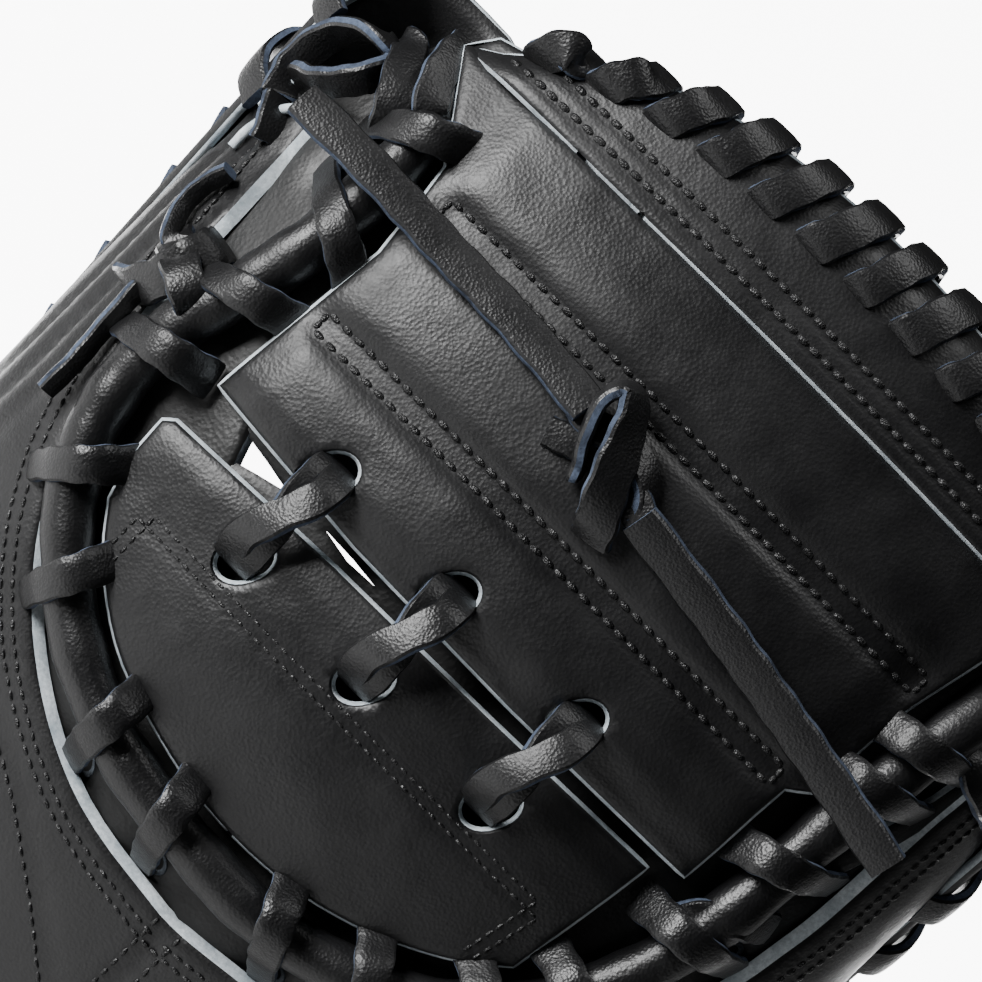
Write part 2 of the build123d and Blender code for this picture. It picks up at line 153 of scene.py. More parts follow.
def fibrous(name, base, light, scale=1400.0, depth=0.6):
    """Cut hide, felt or pile: a matt surface of short fibres."""
    material, tree, shader, place = new_material(name)
    fibres = node(
        tree, "ShaderNodeTexNoise", {"Vector": place, "Scale": scale, "Detail": 6.0, "Roughness": 0.75},
    )
    blotch = node(tree, "ShaderNodeTexNoise", {"Vector": place, "Scale": scale / 7, "Detail": 3.0})
    both = node(tree, "ShaderNodeMath", {0: fibres.outputs[0], 1: blotch.outputs[0]}, operation="MULTIPLY")
    level = node(tree, "ShaderNodeMapRange", {"Value": both.outputs[0], "From Min": 0.12, "From Max": 0.42})
    tint = node(
        tree, "ShaderNodeMix", {0: level.outputs[0], 6: linear(base), 7: linear(light)}, data_type="RGBA",
    )
    bump = node(tree, "ShaderNodeBump", {"Strength": depth, "Distance": 0.0002, "Height": fibres.outputs[0]})
    tree.links.new(tint.outputs[2], shader.inputs["Base Color"])
    tree.links.new(bump.outputs[0], shader.inputs["Normal"])
    shader.inputs["Roughness"].default_value = 0.92
    shader.inputs["Specular IOR Level"].default_value = 0.2
    return material


# dyed cowhide, glazed: close pebbled grain and a broad soft shine
hide = leather("black_cowhide", "#0d0d0e", "#151516")
# the same hide where it is thinner or seen from its flesh side: looser grain
hide_soft = leather("black_cowhide_soft", "#0d0d0d", "#161616", grain=0.7, rough=(0.42, 0.58), wrinkle=0.12)
# undyed core of the hide where a knife has cut it: pale, matt, fibrous
raw_edge = fibrous("raw_cut_edge", "#8e9aa2", "#dfe6ea")
# waxed polyester thread, seven strands: a tight dark shine
thread = leather(
    "waxed_thread", "#09090a", "#121213", grain=0.25, grain_depth=0.2, rough=(0.34, 0.46), wrinkle=0.1,
)
CUT_HIDE = [hide, raw_edge, hide_soft]  # grain side, cut edge, flesh side
MM = 0.001
# each bowl: half its width, the radius across its crown, its shoulder's radius, its reach, its axis's rise
BACK = (0.080, 0.150, 0.040, REACH, 0.0)
PALM = (0.075, 0.170, 0.030, 0.180, 0.018)


def section(bowl, s, depth):
    """Across a bowl at arc length s from the fold: the distance sideways and the drop below the crown."""
    width, crown, shoulder = bowl[:3]
    turn = math.asin((width - shoulder) / (crown - shoulder))
    first, second = crown * turn, shoulder * (math.pi / 2 - turn)
    side_x, side_z = (crown - shoulder) * math.sin(turn), (crown - shoulder) * math.cos(turn)
    size, way = abs(s), math.copysign(1, s)
    if size <= first:
        angle = size / crown
        return way * (crown - depth) * math.sin(angle), crown - (crown - depth) * math.cos(angle)
    if size <= first + second:
        angle = turn + (size - first) / shoulder
        return (
            way * (side_x + (shoulder - depth) * math.sin(angle)),
            crown - side_z - (shoulder - depth) * math.cos(angle),
        )
    return way * (width - depth), crown - side_z + size - first - second


def on_bowl(bowl, s, t, depth):
    """The point at arc length s from the fold and t up from the web's centre, moved in by depth."""
    x, drop = section(bowl, s, depth)
    angle, rho = WEB_ANGLE + t / REACH, bowl[3] - drop
    return Vector((x, BOWL_Y - rho * math.cos(angle), BOWL_Z + bowl[4] + rho * math.sin(angle)))


def arc_at(bowl, x):
    """The arc length from the fold at which a bowl's skin is x to the side."""
    width, crown, shoulder = bowl[:3]
    turn = math.asin((width - shoulder) / (crown - shoulder))
    first, side_x = crown * turn, (crown - shoulder) * math.sin(turn)
    size = abs(x)
    if size <= crown * math.sin(turn):
        return math.copysign(crown * math.asin(size / crown), x)
    angle = math.asin(min((size - side_x) / shoulder, 1))
    return math.copysign(first + shoulder * (angle - turn), x)


def seen_at(x, v, depth):
    """The point of the back's skin, moved in by depth, seen at (x, v) along the web's normal."""
    drop = section(BACK, arc_at(BACK, x), 0)[1] + depth
    rho = REACH - drop
    return WEB_ORIGIN + ACROSS * x + WEB_UP * v + WEB_NORMAL * (math.sqrt(rho * rho - v * v) - REACH)


def web_point(x, v, depth):
    """seen_at in millimetres."""
    return seen_at(x * MM, v * MM, depth * MM)


def inside(points, loop):
    """Which of the points lie inside a closed loop."""
    p, a = np.array(points), np.array(loop)
    b = np.roll(a, -1, axis=0)
    hit = np.zeros(len(p), bool)
    for (x0, y0), (x1, y1) in zip(a, b):
        if y0 != y1:
            rows = (y0 > p[:, 1]) != (y1 > p[:, 1])
            hit ^= rows & (p[:, 0] < (x1 - x0) * (p[:, 1] - y0) / (y1 - y0) + x0)
    return hit


def spread_loop(corners, step):
    """A closed loop through the corners with points about step apart."""
    loop = []
    for start, end in zip(corners, corners[1:] + corners[:1]):
        a, b = Vector(start), Vector(end)
        count = max(1, round((b - a).length / step))
        loop += [tuple(a.lerp(b, i / count)) for i in range(count)]
    return loop


def smooth_line(points, count):
    """A Catmull-Rom line through the points, with count steps for each span."""
    line, n = [], len(points)
    for i in range(n - 1):
        a, b = Vector(points[max(i - 1, 0)]), Vector(points[i])
        c, d = Vector(points[i + 1]), Vector(points[min(i + 2, n - 1)])
        for k in range(count):
            u = k / count
            line.append(0.5 * (2 * b + (c - a) * u + (2 * a - 5 * b + 4 * c - d) * u * u
                               + (3 * b - a - 3 * c + d) * u * u * u))
    line.append(Vector(points[-1]))
    return line


def inset(loop, by):
    """A closed loop moved inwards by a small distance."""
    area = sum(a[0] * b[1] - b[0] * a[1] for a, b in zip(loop, loop[1:] + loop[:1]))
    sign = 1 if area > 0 else -1
    moved = []
    for before, point, after in zip(loop[-1:] + loop[:-1], loop, loop[1:] + loop[:1]):
        along = (Vector(after) - Vector(before)).normalized()
        moved.append((point[0] - along[1] * by * sign, point[1] + along[0] * by * sign))
    return moved


def add_mesh(name, points, faces, materials, slots=None, smooth=50):
    """Makes a mesh object at the origin, smooth but for edges sharper than an angle."""
    mesh = bpy.data.meshes.new(name)
    mesh.from_pydata([tuple(p) for p in points], [], faces)
    for material in materials:
        mesh.materials.append(material)
    if slots is not None:
        mesh.polygons.foreach_set("material_index", slots)
    mesh.update()
    mesh.shade_smooth()
    mesh.set_sharp_from_angle(angle=math.radians(smooth))
    made = bpy.data.objects.new(name, mesh)
    bpy.context.scene.collection.objects.link(made)
    return made


def swept_faces(rings, around):
    """The faces between closed rings of points, then the two end caps."""
    faces = []
    for i in range(rings - 1):
        for k in range(around):
            a, b = i * around + k, i * around + (k + 1) % around
            faces.append((a, b, b + around, a + around))
    return faces + [tuple(range(around))[::-1], tuple((rings - 1) * around + k for k in range(around))]


def hide_panel(name, outline, holes, surface, depth, thick, step, materials, round_off=0.4, flare=0.5):
    """A hide cut to an outline with holes, laid on a surface: grain side, flesh side and cut edges."""
    loops = [outline] + holes
    rings = [inset(outline, step * 0.45)] + [inset(h, -step * 0.3) for h in holes]
    low = [min(p[k] for p in outline) for k in (0, 1)]
    high = [max(p[k] for p in outline) for k in (0, 1)]
    grid = []
    rows = int((high[1] - low[1]) / (step * 0.866)) + 1
    for j in range(rows):
        shift = step / 2 if j % 2 else 0
        for i in range(int((high[0] - low[0]) / step) + 1):
            grid.append((low[0] + shift + i * step, low[1] + j * step * 0.866))
    keep = inside(grid, inset(outline, step * 0.8))
    for hole in holes:
        keep &= ~inside(grid, inset(hole, -step * 0.7))
    flat, edges = [], []
    for loop in loops:
        first = len(flat)
        flat += loop
        edges += [(first + i, first + (i + 1) % len(loop)) for i in range(len(loop))]
    border = len(flat)
    for ring in rings:
        flat += ring
    flat += [p for p, k in zip(grid, keep) if k]
    points, _, faces, originals, _, _ = delaunay_2d_cdt([Vector(p) for p in flat], edges, [], 0, 1e-7)
    middles = [tuple(sum((points[i] for i in f), Vector((0, 0))) / 3) for f in faces]
    good = inside(middles, outline)
    for hole in holes:
        good &= ~inside(middles, hole)
    faces = [tuple(f) for f, k in zip(faces, good) if k]
    spread = [q for loop, way in zip(loops, [1] + [-1] * len(holes)) for q in inset(loop, -flare * way)]
    top, bottom = [], []
    for p, source in zip(points, originals):
        rim = [o for o in source if o < border]
        d = depth(p[0], p[1])
        top.append(surface(p[0], p[1], d + (round_off if rim else 0)))
        low_p = spread[rim[0]] if rim else p
        bottom.append(surface(low_p[0], low_p[1], d + thick))
    n = len(points)
    normal = (top[faces[0][1]] - top[faces[0][0]]).cross(top[faces[0][2]] - top[faces[0][0]])
    outward = top[faces[0][0]] - bottom[faces[0][0]]
    if normal.dot(outward) < 0:
        faces = [f[::-1] for f in faces]
    counts = {}
    for f in faces:
        for a, b in zip(f, f[1:] + f[:1]):
            counts[(a, b)] = True
    walls = [(b, a, a + n, b + n) for a, b in counts if (b, a) not in counts]
    all_faces = faces + [tuple(i + n for i in f[::-1]) for f in faces] + walls
    slots = [0] * len(faces) + [2] * len(faces) + [1] * len(walls)
    return add_mesh(name, top + bottom, all_faces, materials, slots)


def oval(x, v, long, wide, lean):
    """A slot-shaped loop round (x, v)."""
    loop, count = [], 28
    for i in range(count):
        a = 2 * math.pi * i / count
        p, q = math.cos(a) * long / 2, math.sin(a) * wide / 2
        p *= abs(math.cos(a)) ** -0.15 if abs(math.cos(a)) > 0.2 else 1
        loop.append((
            x + p * math.cos(lean) - q * math.sin(lean),
            v + p * math.sin(lean) + q * math.cos(lean),
        ))
    return loop


def ease(value, low, high):
    """Smooth step from 0 to 1."""
    u = min(max((value - low) / (high - low), 0), 1)
    return u * u * (3 - 2 * u)


def ripple(x, v, size, seed=0.0):
    """Slow unevenness of hide, between about -1 and 1."""
    return noise.noise(Vector((x / size + seed, v / size - seed, seed)))


SEAMS = ((0.0, -46.5, 46.0), (24.0, -45.5, 52.0))  # each seam's height and its two ends
BAND = 1.75  # each row of a seam from its middle
TIE_X = (-30.0, -5.6, 20.0)
TIE_HIGH, TIE_LOW, TIE_LEAN = -14.8, -32.0, math.radians(62)
TIE_HOLE = (9.6, 6.6)
WEB_OUT = -2.5  # the web's skin stands this far outside the backs'
WEB_HIDE, CORNER_STEP, MESH_STEP = 2.2, 1.2, 1.25


def panel_depth(x, v):
    """The wide panel's grain side: rolls between the seams, which pull it down to the felt's edge."""
    fall = 0.0
    for seam, start, end in SEAMS:
        near = math.exp(-(((v - seam) / 3.6) ** 2)) * ease(x, start - 5, start + 2)
        near *= 1 - ease(x, end - 2, end + 5)
        rib = math.exp(-(((v - seam) / 0.8) ** 2)) * 0.22 * ease(x, start, start + 3)
        rib *= 1 - ease(x, end - 3, end)
        fall += near * 1.9 - rib
    for row in (-BAND, BAND):
        for seam, start, end in SEAMS:
            groove = 0.3 * math.exp(-(((v - seam - row) / 0.55) ** 2))
            fall += groove * ease(x, start, start + 1) * (1 - ease(x, end - 1, end))
    edge = 1.6 * (1 - ease(v, -19.5, -12)) + 1.4 * (1 - ease(x, -51, -44))
    edge += 1.4 * ease(x, 44, 52) * ease(30 - v, -10, 10)
    edge += 2.4 * ease(v, 43.0, 45.0)  # under the binding
    for tie in TIE_X:
        around = math.hypot(x - tie, (v - TIE_HIGH) * 0.8)
        fall += 0.5 * math.exp(-((around / 6.5) ** 2))
    return WEB_OUT - 2.0 + fall + edge + 0.35 * ripple(x, v, 17.0) + 0.12 * ripple(x, v, 5.0, 3.1)


panel_corners = [
    (-50.6, -17.0), (-20.0, -19.4), (12.0, -20.0), (47.2, -19.6), (47.8, -6.0), (48.3, -0.4),
    (51.6, 2.0), (52.8, 19.0), (57.0, 38.0), (59.5, 46.0), (30.0, 55.0), (0.0, 58.0), (-30.0, 55.0),
    (-58.0, 48.0), (-61.0, 43.6), (-55.0, 35.5), (-49.8, 28.6), (-48.6, 21.0), (-47.6, 13.0),
    (-49.0, -1.0),
]
panel_holes = [oval(x, TIE_HIGH, *TIE_HOLE, TIE_LEAN) for x in TIE_X]
web_panel = hide_panel(
    "web_panel", spread_loop(panel_corners, CORNER_STEP), panel_holes, web_point, panel_depth, WEB_HIDE,
    MESH_STEP,
    CUT_HIDE,
)


def stitch_shape(length, width):
    """One raised stitch of plied thread, lying along X with its ends sunk."""
    rings, around = 7, 8
    points = []
    for i in range(rings):
        u = -1 + 2 * i / (rings - 1)
        radius = width / 2 * math.sqrt(max(1 - (abs(u) ** 2.6), 0.04))
        rise = -width * 0.25 * u * u
        for k in range(around):
            a = 2 * math.pi * k / around
            points.append((u * length / 2, radius * math.cos(a), rise + radius * math.sin(a)))
    return points, [f[::-1] for f in swept_faces(rings, around)]


def repeat_tree():
    """A node tree that puts one object on every point of a mesh, turned by the point's own angles."""
    tree = bpy.data.node_groups.new("repeat_piece", "GeometryNodeTree")
    for name, kind in (("Geometry", "Geometry"), ("Piece", "Object"), ("Material", "Material")):
        tree.interface.new_socket(name=name, in_out="INPUT", socket_type=f"NodeSocket{kind}")
    tree.interface.new_socket(name="Geometry", in_out="OUTPUT", socket_type="NodeSocketGeometry")
    entry = tree.nodes.new("NodeGroupInput")
    leave = tree.nodes.new("NodeGroupOutput")
    info = node(tree, "GeometryNodeObjectInfo", {"Object": entry.outputs["Piece"]})
    turns = node(tree, "GeometryNodeInputNamedAttribute", {"Name": "turn"}, data_type="FLOAT_VECTOR")
    sizes = node(tree, "GeometryNodeInputNamedAttribute", {"Name": "size"}, data_type="FLOAT_VECTOR")
    euler = node(tree, "FunctionNodeEulerToRotation", {"Euler": turns.outputs["Attribute"]})
    put = node(
        tree, "GeometryNodeInstanceOnPoints",
        {
            "Points": entry.outputs["Geometry"], "Instance": info.outputs["Geometry"],
            "Rotation": euler.outputs["Rotation"], "Scale": sizes.outputs["Attribute"],
        },
    )
    real = node(tree, "GeometryNodeRealizeInstances", {"Geometry": put.outputs["Instances"]})
    dressed = node(
        tree, "GeometryNodeSetMaterial",
        {"Geometry": real.outputs["Geometry"], "Material": entry.outputs["Material"]},
    )
    tree.links.new(dressed.outputs["Geometry"], leave.inputs["Geometry"])
    return tree


REPEAT = repeat_tree()


def repeat_piece(name, places, shape, material):
    """Repeats a shape at places, each a point, a turn and a size, and returns one plain mesh."""
    source_mesh = bpy.data.meshes.new(name + "_one")
    source_mesh.from_pydata(shape[0], [], shape[1])
    source_mesh.shade_smooth()
    source = bpy.data.objects.new(name + "_one", source_mesh)
    seats = bpy.data.meshes.new(name + "_places")
    seats.from_pydata([tuple(p) for p, _, _ in places], [], [])
    turns = seats.attributes.new("turn", "FLOAT_VECTOR", "POINT")
    sizes = seats.attributes.new("size", "FLOAT_VECTOR", "POINT")
    for i, (_, turn_by, size) in enumerate(places):
        turns.data[i].vector = turn_by
        sizes.data[i].vector = size
    host = bpy.data.objects.new(name + "_host", seats)
    for temporary in (source, host):
        bpy.context.scene.collection.objects.link(temporary)
    modifier = host.modifiers.new("repeat", "NODES")
    modifier.node_group = REPEAT
    for item in REPEAT.interface.items_tree:
        if item.in_out == "INPUT" and item.name in ("Piece", "Material"):
            modifier[item.identifier] = source if item.name == "Piece" else material
    bpy.context.view_layer.update()
    done = bpy.data.meshes.new_from_object(host.evaluated_get(bpy.context.evaluated_depsgraph_get()))
    done.name = name
    made = bpy.data.objects.new(name, done)
    bpy.context.scene.collection.objects.link(made)
    for temporary in (host, source):
        bpy.data.objects.remove(temporary)
    return made


def axes_turn(along, out):
    """The turn that lays X along a direction with Z pointing out."""
    along = along.normalized()
    side = out.cross(along).normalized()
    out = along.cross(side)
    return Matrix((along, side, out)).transposed().to_euler()


def stitch_places(route, surface, depth, pitch, lift=0.0, size=1.0):
    """Places for a row of stitches along a flat route of points on a surface, in its own units."""
    lengths, places = [0.0], []
    for a, b in zip(route, route[1:]):
        lengths.append(lengths[-1] + (Vector(b) - Vector(a)).length)
    count = max(2, round(lengths[-1] / pitch))
    span, k = lengths[-1] / count, 0
    for i in range(count):
        at = (i + 0.5) * span
        while lengths[k + 1] < at:
            k += 1
        u = (at - lengths[k]) / (lengths[k + 1] - lengths[k])
        a, b = Vector(route[k]), Vector(route[k + 1])
        p, way = a.lerp(b, u), (b - a).normalized() * 0.4
        d = depth(p[0], p[1]) - lift
        here = surface(p[0], p[1], d)
        ahead = surface(p[0] + way[0], p[1] + way[1], d)
        out = here - surface(p[0], p[1], d + 1)
        wobble = 0.06 * math.sin(i * 2.4) + 0.05 * math.sin(i * 5.1 + 1)
        along = (ahead - here).normalized()
        along = (along + along.cross(out.normalized()) * wobble).normalized()
        places.append((here, axes_turn(along, out), (size, size, size)))
    return places


heavy_stitch = stitch_shape(length=2.55 * MM, width=1.25 * MM)
places = []
for seam, start, end in SEAMS:
    for row in (-BAND, BAND):
        route = smooth_line(
            [(start, seam + row), ((start + end) / 2, seam + row + 0.25), (end, seam + row)], 40,
        )
        places += stitch_places(route, web_point, panel_depth, pitch=2.45, lift=-0.12)
    for end_x in (start, end):
        bar = [(end_x, seam - 1.5), (end_x, seam + 1.5)]
        places += stitch_places(bar, web_point, panel_depth, pitch=1.6, lift=-0.12, size=0.8)
web_seams = repeat_piece("web_panel_stitching", places, heavy_stitch, thread)


def across_fold(piece, slot, *nodes):
    """A hide piece left where it is built, on no body, that stands for the nodes of both halves."""
    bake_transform(piece)
    if nodes:
        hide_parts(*nodes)


def on_half(piece, body, slot, *nodes):
    """A piece that rides on one body."""
    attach(piece, body)
    if nodes:
        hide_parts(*nodes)


across_fold(web_panel, "black_leather", "finger_web_panel", "thumb_web_panel")
across_fold(web_seams, "black_leather")


# ---------------------------------------------------------------------------
# Web, half moon: a separate hide panel in the crotch, with a finer double
# line of stitching that turns down at both ends.
# ---------------------------------------------------------------------------


def moon_depth(x, v):
    """The half moon's grain side: slightly domed, lower at its cut edge."""
    dome = 1.5 * (1 - ((x + 4) / 52) ** 2) * ease(v, -64, -46)
    line = 0.0
    for row in (-0.9, 0.9):
        groove = 0.16 * math.exp(-(((v - MOON_SEAM - row) / 0.5) ** 2))
        line += groove * ease(x, -45, -44) * (1 - ease(x, 35, 36))
    top = 0.9 * ease(v, -29, -23.5)
    for tie in TIE_X:
        top += 0.5 * math.exp(-((math.hypot(x - tie, (v - TIE_LOW) * 0.8) / 6.5) ** 2))
    level = WEB_OUT + 0.3 - dome + line + top
    return level + 0.35 * ripple(x, v, 14.0, 7.0) + 0.1 * ripple(x, v, 4.5, 1.7)


MOON_SEAM = -38.0
moon_low = [
    (39.0, -46.5), (31.0, -52.5), (18.0, -58.5), (3.0, -61.5), (-13.0, -60.8), (-32.0, -55.5),
    (-44.0, -47.5), (-50.5, -40.0),
]
moon_corners = [(-53.0, -26.5), (-51.5, -25.2), (-20.0, -23.6), (12.0, -23.2), (42.4, -22.6)]
moon_corners += [tuple(p) for p in smooth_line([Vector(p) for p in moon_low], 5)] + [(-52.6, -33.0)]
moon_holes = [oval(x, TIE_LOW, *TIE_HOLE, TIE_LEAN) for x in TIE_X]
web_half_moon = hide_panel(
    "web_half_moon", spread_loop(moon_corners, CORNER_STEP), moon_holes, web_point, moon_depth, WEB_HIDE,
    MESH_STEP,
    CUT_HIDE,
)
fine_stitch = stitch_shape(length=1.75 * MM, width=0.62 * MM)
places = []
for off in (-0.9, 0.9):
    path = [(-44.5 + off, -46.5), (-44.6 + off, MOON_SEAM + off), (35.4 - off, MOON_SEAM + off),
            (33.0 - off, -50.0)]
    for start, end in zip(path, path[1:]):
        places += stitch_places([start, end], web_point, moon_depth, pitch=1.85, lift=-0.05)
moon_seams = repeat_piece("web_half_moon_stitching", places, fine_stitch, thread)
across_fold(web_half_moon, "black_leather", "finger_web_half_moon", "thumb_web_half_moon")
across_fold(moon_seams, "black_leather")


# ---------------------------------------------------------------------------
# Web, top binding: a hide strip sewn over the panel's top with two rows of
# double stitching and folded over the free edge; its lower edge is cut raw.
# ---------------------------------------------------------------------------
BIND_LOW = 43.5
BINDING_ROWS = (46.6, 50.1)


def edge_height(x):
    """The web's free edge: how far up the web it is at x."""
    bow = 67.0 - 3.0 * ((x - 8) / 30) ** 2
    return bow - 1.9 * max(-(x + 22) / 18, 0) ** 2 - max((x - 36) / 18, 0) ** 2


def binding_depth(x, v):
    """The binding's grain side: over the panel's top roll, then turned down at the free edge."""
    top = edge_height(x)
    turned = 1 - math.sqrt(max(1 - ease(v, top - 7, top + 0.6) ** 2 * 0.92, 0))
    sewn = 0.0
    for row in BINDING_ROWS:
        sewn += 0.3 * math.exp(-(((v - row) / 0.6) ** 2))
    puffed = 0.63 * math.exp(-(((v - 57) / 4.0) ** 2))
    under = 0.8 * (1 - ease(x, -58, -50)) + 0.8 * ease(x, 50, 60)
    uneven = 0.25 * ripple(x, v, 15.0, 5.0) + 0.1 * ripple(x, v, 4.0, 2.2)
    return WEB_OUT - 3.2 + 5.2 * turned + sewn - puffed + under + uneven


edge_line = [(x, edge_height(x)) for x in [60 - i * 4 for i in range(30)]]
binding_corners = [(-61.4, BIND_LOW), (-20, BIND_LOW - 0.15), (20, BIND_LOW + 0.1), (60.0, BIND_LOW)]
binding_corners += edge_line
web_binding = hide_panel(
    "web_top_binding", spread_loop(binding_corners, CORNER_STEP), [], web_point, binding_depth,
    thick=1.6, step=MESH_STEP, materials=CUT_HIDE,
)
places = []
for row in BINDING_ROWS:
    route = [(-54.5, row), (0.0, row + 0.15), (56.0, row)]
    places += stitch_places(route, web_point, binding_depth, pitch=2.4, lift=-0.05)
binding_seams = repeat_piece("web_binding_stitching", places, heavy_stitch, thread)
across_fold(web_binding, "black_leather", "finger_web_binding", "thumb_web_binding")
across_fold(binding_seams, "black_leather")


# ---------------------------------------------------------------------------
# Rawhide lace: one function sweeps a flat strip with grain faces and cut
# sides. First use: the spiral over the web's free edge.
# ---------------------------------------------------------------------------


def lace_strip(name, points, outs, width, thick, steps=8, taper=(1.0, 1.0), samples=None):
    """A flat strip along control points; outs point away from what it lies on. Sides are cut hide."""
    line = samples or smooth_line([Vector(p) for p in points], steps)
    ups = smooth_line([Vector(p) for p in outs], steps) if samples is None else outs
    shape = [(-0.5, -0.22), (-0.5, 0.22), (-0.44, 0.42), (-0.2, 0.5), (0.2, 0.5), (0.44, 0.42),
             (0.5, 0.22), (0.5, -0.22), (0.44, -0.42), (0.2, -0.5), (-0.2, -0.5), (-0.44, -0.42)]
    n, verts = len(shape), []
    for i, p in enumerate(line):
        along = (line[min(i + 1, len(line) - 1)] - line[max(i - 1, 0)]).normalized()
        side = along.cross(ups[i]).normalized()
        out = side.cross(along)
        share = i / (len(line) - 1)
        scale = taper[0] + (taper[1] - taper[0]) * share
        scale *= 1 + 0.04 * math.sin(i * 0.9 + len(line))
        verts += [p + side * (a * width * scale) + out * (b * thick) for a, b in shape]
    slots = [1 if k in (0, 6) else 0 for k in range(n)] * (len(line) - 1) + [1, 1]
    return add_mesh(name, verts, swept_faces(len(line), n), [lace_hide, lace_edge], slots, 40)


def join_all(name, objects):
    """Joins several mesh objects into one."""
    with bpy.context.temp_override(active_object=objects[0], selected_editable_objects=objects):
        bpy.ops.object.join()
    objects[0].name = objects[0].data.name = name
    return objects[0]


def local_frame(x, v):
    """Unit vectors along X, up the web and outwards at a place on the web."""
    here = web_point(x, v, 0)
    along = (web_point(x + 0.5, v, 0) - here).normalized()
    out = (here - web_point(x, v, 1)).normalized()
    return along, out.cross(along).normalized(), out


def web_strip(name, route, width, thick, **more):
    """A lace strip whose control points are (x, v, depth) with the way its face looks as (x, v, out)."""
    points, outs = [], []
    for x, v, d, face in route:
        along, rise, out = local_frame(x, v)
        points.append(web_point(x, v, d))
        outs.append(along * face[0] + rise * face[1] + out * face[2])
    return lace_strip(name, points, outs, width * MM, thick * MM, **more)


def edge_loop(index, x):
    """One slanting turn of the spiral, from its hole over the free edge to the next hole behind."""
    top = edge_height(x + 2.5)
    lean = 0.3 * math.sin(index * 1.7)
    low = 57.2 - 0.45 * (67 - edge_height(x))
    route = [
        (x - 1.4, low - 0.8, -1.5, (0, -1, 0.35)),
        (x - 1.0, low + 0.2, -5.6, (0, -0.7, 0.7)),
        (x + 0.2, low + 2.4, -7.6, (0, -0.15, 1)),
        (x + 1.6 + lean, (low + top) / 2 + 1.8, -7.5, (0, 0.1, 1)),
        (x + 2.9 + lean, top + 0.2, -5.4, (0, 0.6, 0.8)),
        (x + 3.8 + lean, top + 2.2, -1.0, (0, 1, 0)),
        (x + 4.4, top + 0.6, 3.0, (0, 0.7, -0.8)),
        (x + 4.8, low + 3.0, 3.6, (0, 0, -1)),
        (x + 5.0, low, 1.4, (0, -0.7, -0.6)),
    ]
    return web_strip(f"web_edge_loop_{index}", route, 6.0 + 0.3 * math.sin(index * 2.9), 2.3, steps=6)


# rawhide lace: greasy and a little shinier than the hide
lace_hide = leather(
    "black_lace_hide", "#0c0c0d", "#151516", grain=0.45, grain_depth=0.1, rough=(0.34, 0.46), wrinkle=0.12,
)
# the cut side of dyed lace: blue-grey and matt
lace_edge = fibrous("lace_cut_side", "#20252f", "#525d70")
EDGE_FIRST, EDGE_PITCH = -50.0, 9.3
left_loops, right_loops = [], []
for index in range(12):
    x = EDGE_FIRST + index * EDGE_PITCH
    (left_loops if x < -2 else right_loops).append(edge_loop(index, x))
web_lace_left = join_all("web_edge_lacing_finger_side", left_loops)
web_lace_right = join_all("web_edge_lacing_thumb_side", right_loops)
on_half(web_lace_left, "finger_half", "black_rawhide_lace", "finger_web_edge_lacing")
on_half(web_lace_right, "thumb_half", "black_rawhide_lace", "thumb_web_edge_lacing")


# ---------------------------------------------------------------------------
# Ties: a double strand of lace through each pair of holes, crossing over
# itself between the wide panel and the half moon.
# ---------------------------------------------------------------------------


def tie(name, x, lean):
    """A figure of eight of lace from a hole in the wide panel to one in the half moon."""
    strands = []
    for way, lift in ((1, 0.0), (-1, -2.0)):
        low_x, high_x = x - 0.4 + way * 1.1 + lean, x + 0.3 - way * 1.1
        route = [
            (high_x, TIE_HIGH + 1.2, 1.5, (0, 1, 0.2)),
            (high_x, TIE_HIGH + 1.0, -3.0, (0, 0.8, 0.6)),
            (high_x - way * 0.2, TIE_HIGH - 2.6, -6.4 + lift * 0.7, (0.15 * way, 0.2, 1)),
            ((high_x + low_x) / 2, (TIE_HIGH + TIE_LOW) / 2, -6.9 + lift, (0.5 * way, 0, 1)),
            (low_x + way * 0.2, TIE_LOW + 3.2, -6.0 + lift * 0.7, (0.15 * way, -0.2, 1)),
            (low_x, TIE_LOW - 0.8, -2.4, (0, -0.8, 0.6)),
            (low_x, TIE_LOW - 1.2, 2.2, (0, -1, 0.2)),
        ]
        strands.append(web_strip(f"{name}_{way}", route, 5.2, 2.2, steps=7))
    return join_all(name, strands)


ties = [tie(f"web_tie_{n}", x, lean) for n, (x, lean) in enumerate(zip(TIE_X, (-0.8, -0.5, -0.9)), 1)]
for piece, body, n in zip(ties, ("finger_half", "finger_half", "thumb_half"), (1, 2, 3)):
    on_half(piece, body, "black_rawhide_lace", f"web_tie_{n}")


# ---------------------------------------------------------------------------
# Rolled edge: a tube of rolled hide that borders the throat, held down by
# flat lace that comes from under the web, over the roll, into the gusset.
# ---------------------------------------------------------------------------
ROLL_DEPTH, ROLL_RADIUS = -1.9, 4.0
ROLL = [
    (-56.0, 33), (-55.0, 22), (-55.5, 9), (-58, -4), (-61.5, -18), (-60.5, -32), (-54, -45), (-41, -57),
    (-24, -64.6), (-6, -67.3), (11, -67.3), (30, -61.5), (43.5, -51), (52, -36), (56, -18), (57.5, 2),
    (61, 24), (63, 36),
]


def tube(name, line, outs, radius, material, around=20):
    """A tube round a line, its thickness wavering slightly along it."""
    verts = []
    for i, p in enumerate(line):
        along = (line[min(i + 1, len(line) - 1)] - line[max(i - 1, 0)]).normalized()
        side = along.cross(outs[i]).normalized()
        out = side.cross(along)
        size = radius * (1 + 0.035 * math.sin(i * 0.55) + 0.025 * math.sin(i * 1.3 + 2))
        for k in range(around):
            a = 2 * math.pi * k / around
            verts.append(p + (side * math.cos(a) + out * math.sin(a)) * size)
    return add_mesh(name, verts, swept_faces(len(line), around), [material], smooth=60)


